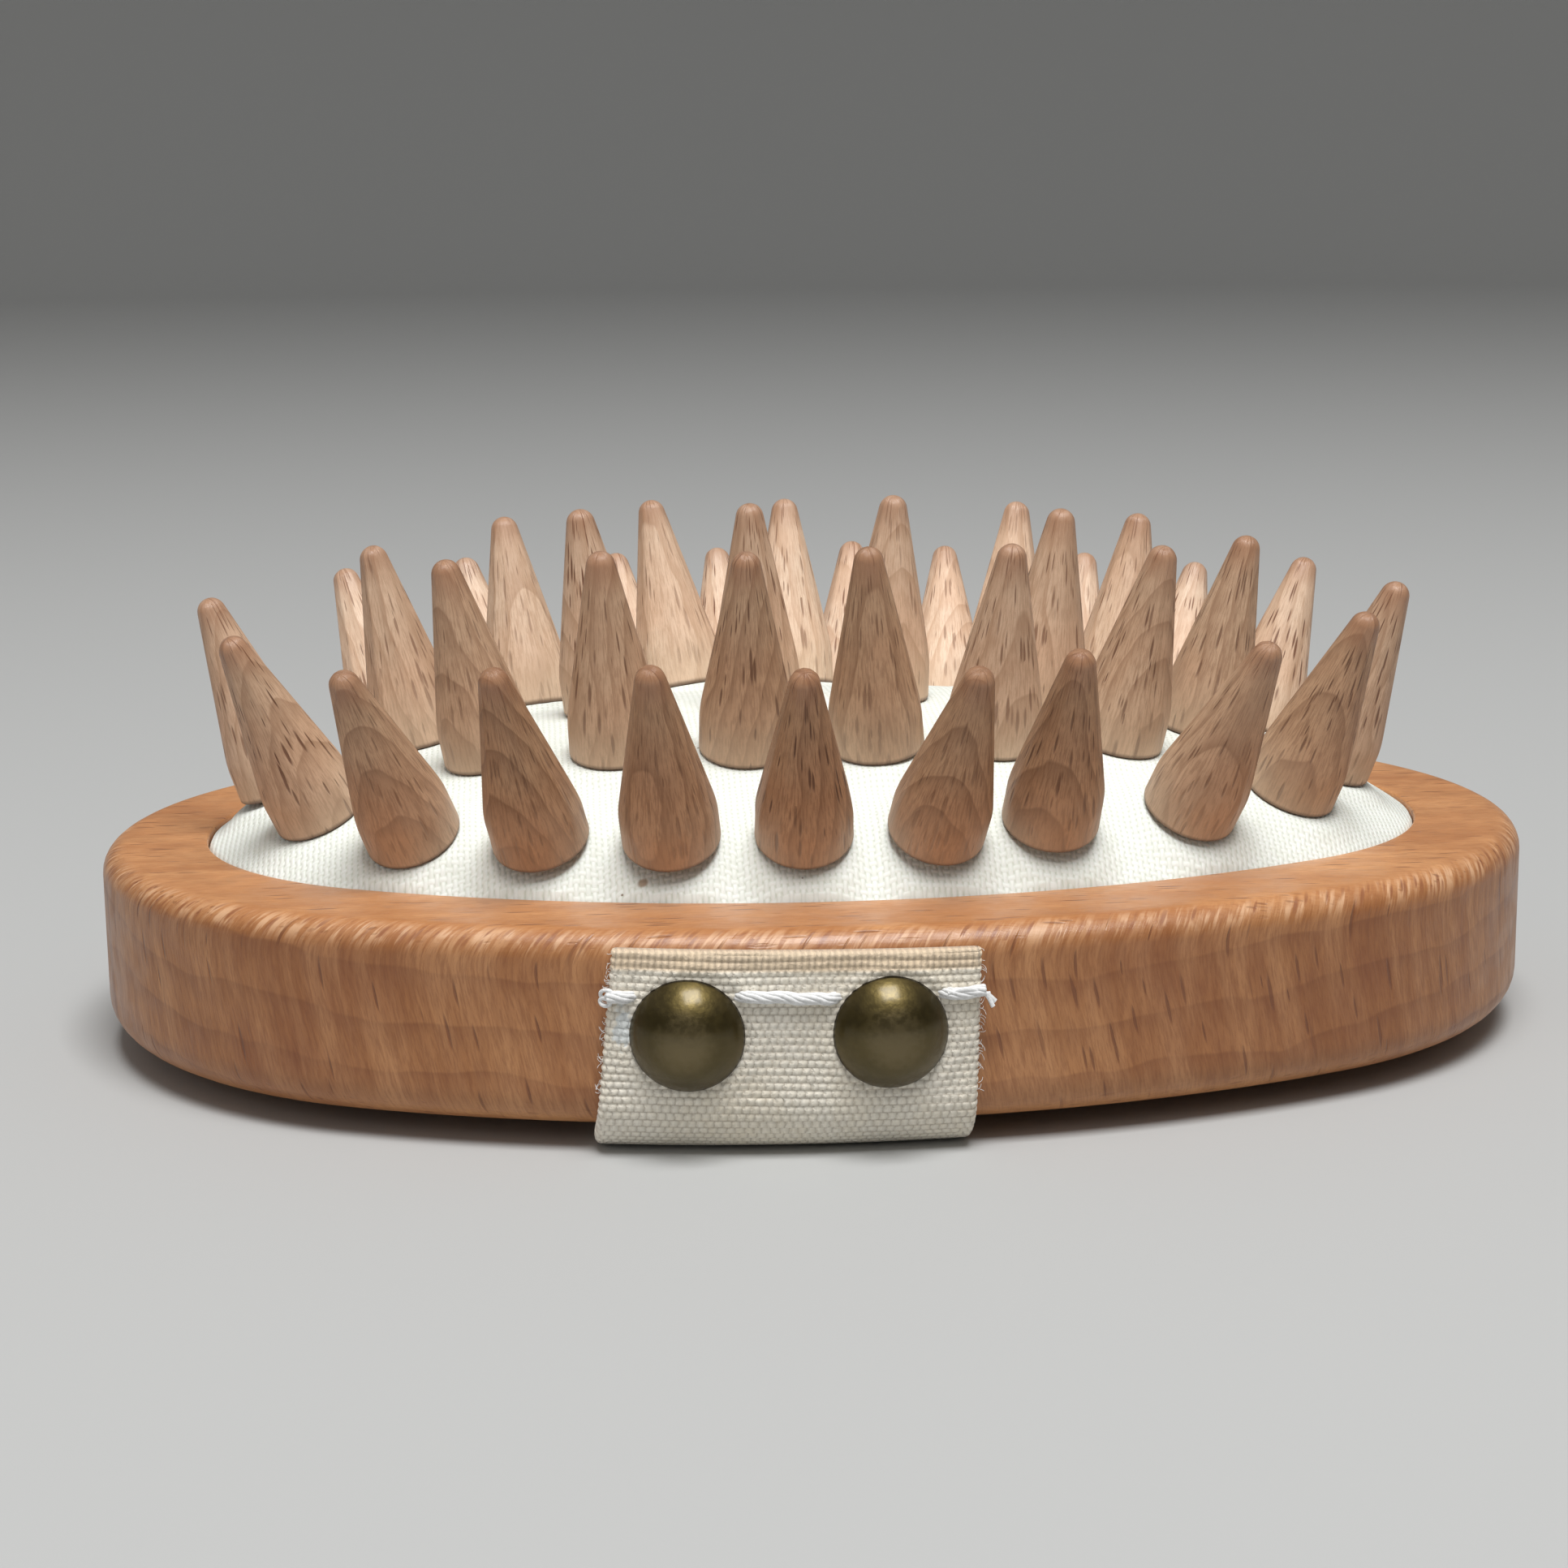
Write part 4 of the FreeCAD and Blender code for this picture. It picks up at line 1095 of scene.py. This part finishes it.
def strap_end(side, sign):
    """One end of the strap, from its hem at the top to where the hand loop starts."""
    across_share, depth_share = section(84)
    along = np.linspace(0, END_LENGTH, 290)
    across, deep = ribbed(along, across_share, depth_share, 1.0 + sign, 0.0)
    height = STRAP_TOP - along[:, None]
    for middle in tack_middles:
        away = np.hypot(across - middle, height - TACK_Z)
        puff = PUFF_HEIGHT * np.exp(-((away - PUFF_RING) / PUFF_SPREAD) ** 2)
        deep = deep + puff * np.clip(depth_share * 2 - 1, 0, 1)
    surface = strap_place(*askew(along[:, None], across), deep, sign)
    name = "strap_webbing_" + side
    piece = webbing_piece(name, surface, along, across, depth_share, "root")
    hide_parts(f"strap_{side}_end")
    return piece


ends = [strap_end(side, sign) for side, sign in SIDES]
print("strap ends of", triangles(ends[0]), "triangles each")

# %% [markdown]
# The hand loop is the same webbing, level under the block at rest. It is made in two
# halves that meet in the middle.

# %% The hand loop
PAST_HEM = 40 * MM


def loop_half(side, sign):
    """Half of the hand loop, from the fixed end's edge to the middle of the span. Its lay
    starts well past the hem, so that the hem's colour stays off it."""
    across_share, depth_share = section(64)
    along = np.linspace(0, JOIN, 274)
    across, deep = ribbed(along + END_LENGTH, across_share, depth_share, 5.0 + sign, 1.0)
    surface = points(across, sign * (JOIN - along)[:, None], THICK - deep)
    name = "strap_loop_" + side
    piece = webbing_piece(name, surface, along + PAST_HEM, across, depth_share, None)
    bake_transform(piece)
    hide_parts("strap_span")
    return piece


halves = [loop_half(side, sign) for side, sign in SIDES]
print("loop halves of", triangles(halves[0]), "triangles each")

# %% [markdown]
# The tacks are stamped domes with a nail inside. A profile goes from the crown over the
# dome to the rim, back up the hollow inside and down the nail to its point, and is spun
# about the tack's own line, which stands square to the curved side of the block.

# %% Tacks
HEAD_RADIUS, HEAD_HEIGHT, HEAD_WALL = 4.75 * MM, 2.9 * MM, 0.6 * MM
curve_radius = (HEAD_RADIUS ** 2 + HEAD_HEIGHT ** 2) / (2 * HEAD_HEIGHT)
curve_centre = HEAD_HEIGHT - curve_radius
inside_radius = curve_radius - HEAD_WALL
rim_turn = np.arcsin(-curve_centre / curve_radius)
inside_turn = np.arcsin(-curve_centre / inside_radius)
nail_turn = np.arccos(0.8 * MM / inside_radius)
outside = np.linspace(np.pi / 2, rim_turn, 22)
inside = np.linspace(inside_turn, nail_turn, 12)
arcs = [np.stack([size * np.cos(turn), curve_centre + size * np.sin(turn)], axis=1)
        for size, turn in ((curve_radius, outside), (inside_radius, inside))]
nail = np.array([(0.8, -7.6), (0, -10)]) * MM
tack_profile = np.vstack([*arcs, nail])
local = spun(tack_profile, SPIN_STEPS)
rise = np.clip(tack_profile[:, 1] / HEAD_HEIGHT, 0, 1)
face = SIDE + THICK
for side, sign in SIDES:
    for hand, x in zip(("left", "right"), tack_middles):
        outward = np.array([x / face, sign * np.sqrt(1 - (x / face) ** 2), 0])
        seat = np.array([0, -sign * SIDE_CENTRE, TACK_Z]) + outward * face
        first, second, axis = frame_along(outward)
        surface = seat + local @ np.array([first, second, axis])
        tack = skin(f"domed_tack_{side}_{hand}", surface, brass, "root",
                    {"climb": rise[:, None] + 0 * spin})
        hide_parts(f"tack_{side}_{hand}")
print("tacks of", triangles(tack), "triangles each")

# %% [markdown]
# The stitching is one thick thread laid from edge to edge of the strap, over the cloth
# and under the tacks' heads. It is seven plies in a slack twist: each ply goes round the
# thread's line in a long helix. At the left it is turned back on itself in small hoops,
# and at the right the plies come apart in short loose ends.

# %% Helper: tubes along lines
def tubes(lines, radius, sides=8):
    """Round tubes along several lines of equal length, lines x points x 3. The circle
    stands square to the line's direction, and closes to a point at each end."""
    lines = np.asarray(lines, float)
    ahead = np.gradient(lines, axis=1)
    ahead /= np.linalg.norm(ahead, axis=2, keepdims=True)
    helper = np.array([0.31, 0.87, 0.38])
    first = np.cross(ahead, helper)
    first /= np.linalg.norm(first, axis=2, keepdims=True)
    second = np.cross(ahead, first)
    turn = full_turn(sides)
    reach = np.asarray(radius, float) * np.ones(lines.shape[:2])
    reach[:, [0, -1]] = 0
    circle = (first[:, :, None] * np.cos(turn)[:, None] + second[:, :, None] * np.sin(turn)[:, None])
    return lines[:, :, None] + circle * reach[:, :, None, None]


def twisted(line, ply_radius, pitch, count):
    """Plies round a line: each is the line plus a small circle that turns once a pitch."""
    ahead = np.gradient(line, axis=0)
    step = np.linalg.norm(ahead, axis=1)
    ahead = ahead / step[:, None]
    first = np.cross(ahead, [0.0, 0.0, 1.0])
    first /= np.linalg.norm(first, axis=1, keepdims=True)
    second = np.cross(ahead, first)
    turn = np.cumsum(step) / pitch * 2 * np.pi + full_turn(count)[:, None]
    return line + ply_radius * (first * np.cos(turn)[..., None] + second * np.sin(turn)[..., None])


print("tube and twist helpers ready")

# %% Helpers: lines over the strap
def curve_through(stops, steps):
    """A smooth line through a few given stops: a cubic between each two, with its
    slope at a stop taken from that stop's neighbours."""
    stops = np.asarray(stops, float)
    slopes = np.gradient(stops, axis=0)
    at = np.linspace(0, len(stops) - 1, steps)
    whole = np.minimum(at.astype(int), len(stops) - 2)
    t = (at - whole)[:, None]
    start, stop = stops[whole], stops[whole + 1]
    leave, arrive = slopes[whole], slopes[whole + 1]
    return ((2 * t ** 3 - 3 * t ** 2 + 1) * start + (t ** 3 - 2 * t ** 2 + t) * leave
            + (3 * t ** 2 - 2 * t ** 3) * stop + (t ** 3 - t ** 2) * arrive)


def on_strap(across, z, deep, sign):
    """Points over the strap's side face: the side arc's radius plus the depth."""
    radius = SIDE + deep
    return points(across, sign * (np.sqrt(radius ** 2 - across ** 2) - SIDE_CENTRE), z)


print("lines on the strap stand", round(float(on_strap(0, 0, 0, 1)[1]), 5), "m from the middle")

# %% The thread across each end
LINE_STEPS, PLIES = 330, 7


def thread_run(side, sign):
    """The laid thread, the hoops at its left end and the loose ends at its right."""
    left, right = (askew(2 * MM, STRAP_MIDDLE + edge * STRAP_WIDTH / 2)[1] for edge in (-1, 1))
    level = BASE + 12.1 * MM
    across = np.linspace(left - 0.3 * MM, right + 0.2 * MM, LINE_STEPS)
    wave = 0.12 * MM * np.sin(across * 620 + 1) + 0.05 * MM * np.sin(across * 2300)
    from_tack = np.abs(across[:, None] - tack_middles).min(axis=1)
    dip = 1.0 * MM * (1 - smooth(from_tack, 3.6 * MM, 5.2 * MM))
    line = on_strap(across, level + wave, THICK + 0.30 * MM - dip, sign)
    plies = twisted(line, ply_radius=0.33 * MM, pitch=8.5 * MM, count=PLIES)
    hoops = []
    for reach, rise, size in ((0.25, 0.25, 0.42), (0.40, -0.35, 0.34), (-0.15, 0.1, 0.38)):
        turn = np.linspace(0, 2 * np.pi, LINE_STEPS)
        hoop_across = left - reach * MM + 1.2 * size * MM * np.cos(turn)
        hoop_level = level + (rise + size * np.sin(turn)) * MM
        deep = THICK + (0.15 + 0.22 * np.sin(turn + reach * 4)) * MM
        hoops.append(on_strap(hoop_across, hoop_level, deep, sign))
    ends = []
    for reach, drop, out in ((0.95, 0.85, 0.55), (0.75, 1.25, 0.75), (0.5, 0.2, 0.35)):
        stops = [(right - 3.0 * MM, level, THICK + 0.45 * MM),
                 (right - 1.4 * MM, level + 0.3 * MM, THICK + 0.6 * MM),
                 (right + 0.1 * MM, level - 0.15 * MM, THICK + 0.5 * MM),
                 (right + reach * MM, level - drop * MM, THICK + out * MM)]
        guide = curve_through(stops, LINE_STEPS)
        ends.append(on_strap(*guide.T, sign))
    lines = np.concatenate([plies, hoops, ends])
    thickness = np.array([0.20] * PLIES + [0.17] * len(hoops) + [0.22, 0.2, 0.17])[:, None] * MM
    piece = skin("thread_" + side, tubes(lines, thickness), yarn, "root")
    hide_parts("stitch_" + side)
    return piece


threads = [thread_run(side, sign) for side, sign in SIDES]
print("threads of", triangles(threads[0]), "triangles each")

# %% [markdown]
# Loose fibres stand out along the strap's edges. Each is a hair-thin tube that starts in
# the selvedge at a chance height, leaves it sideways and curls up or down.

# %% Loose fibres
def loose_fibres(side, sign, count):
    """Hairs along both selvedges: a start on the edge plus a quarter curl of chance size."""
    chance = np.random.default_rng(40 + sign)
    edge = np.where(np.arange(count) % 2, 1.0, -1.0)
    along = chance.uniform(0, DOWN, count)
    size, curl = chance.uniform(0.25, 0.8, count) * MM, chance.uniform(-1.0, 1.0, count)
    t = np.linspace(0, 1, 12)[:, None]
    out = size * np.sin(t * np.pi / 2) * 0.7 - 0.1 * MM
    lower, start = askew(along, STRAP_MIDDLE + edge * STRAP_WIDTH / 2)
    height = STRAP_TOP - lower + size * curl * t ** 2
    deep = THICK * 0.5 + size * 0.4 * np.sin(t * 3 + curl * 3)
    lines = on_strap(start + edge * out, height, deep, sign).transpose(1, 0, 2)
    return skin("fibres_" + side, tubes(lines, 0.022 * MM, sides=5), yarn, "root")


fuzz = [loose_fibres(side, sign, 80) for side, sign in SIDES]
print("loose fibres of", triangles(fuzz[0]), "triangles each side")

# %% Measure and finish
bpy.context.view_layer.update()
print("all pieces:", sum(triangles(o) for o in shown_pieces() if o.type == "MESH"), "triangles")
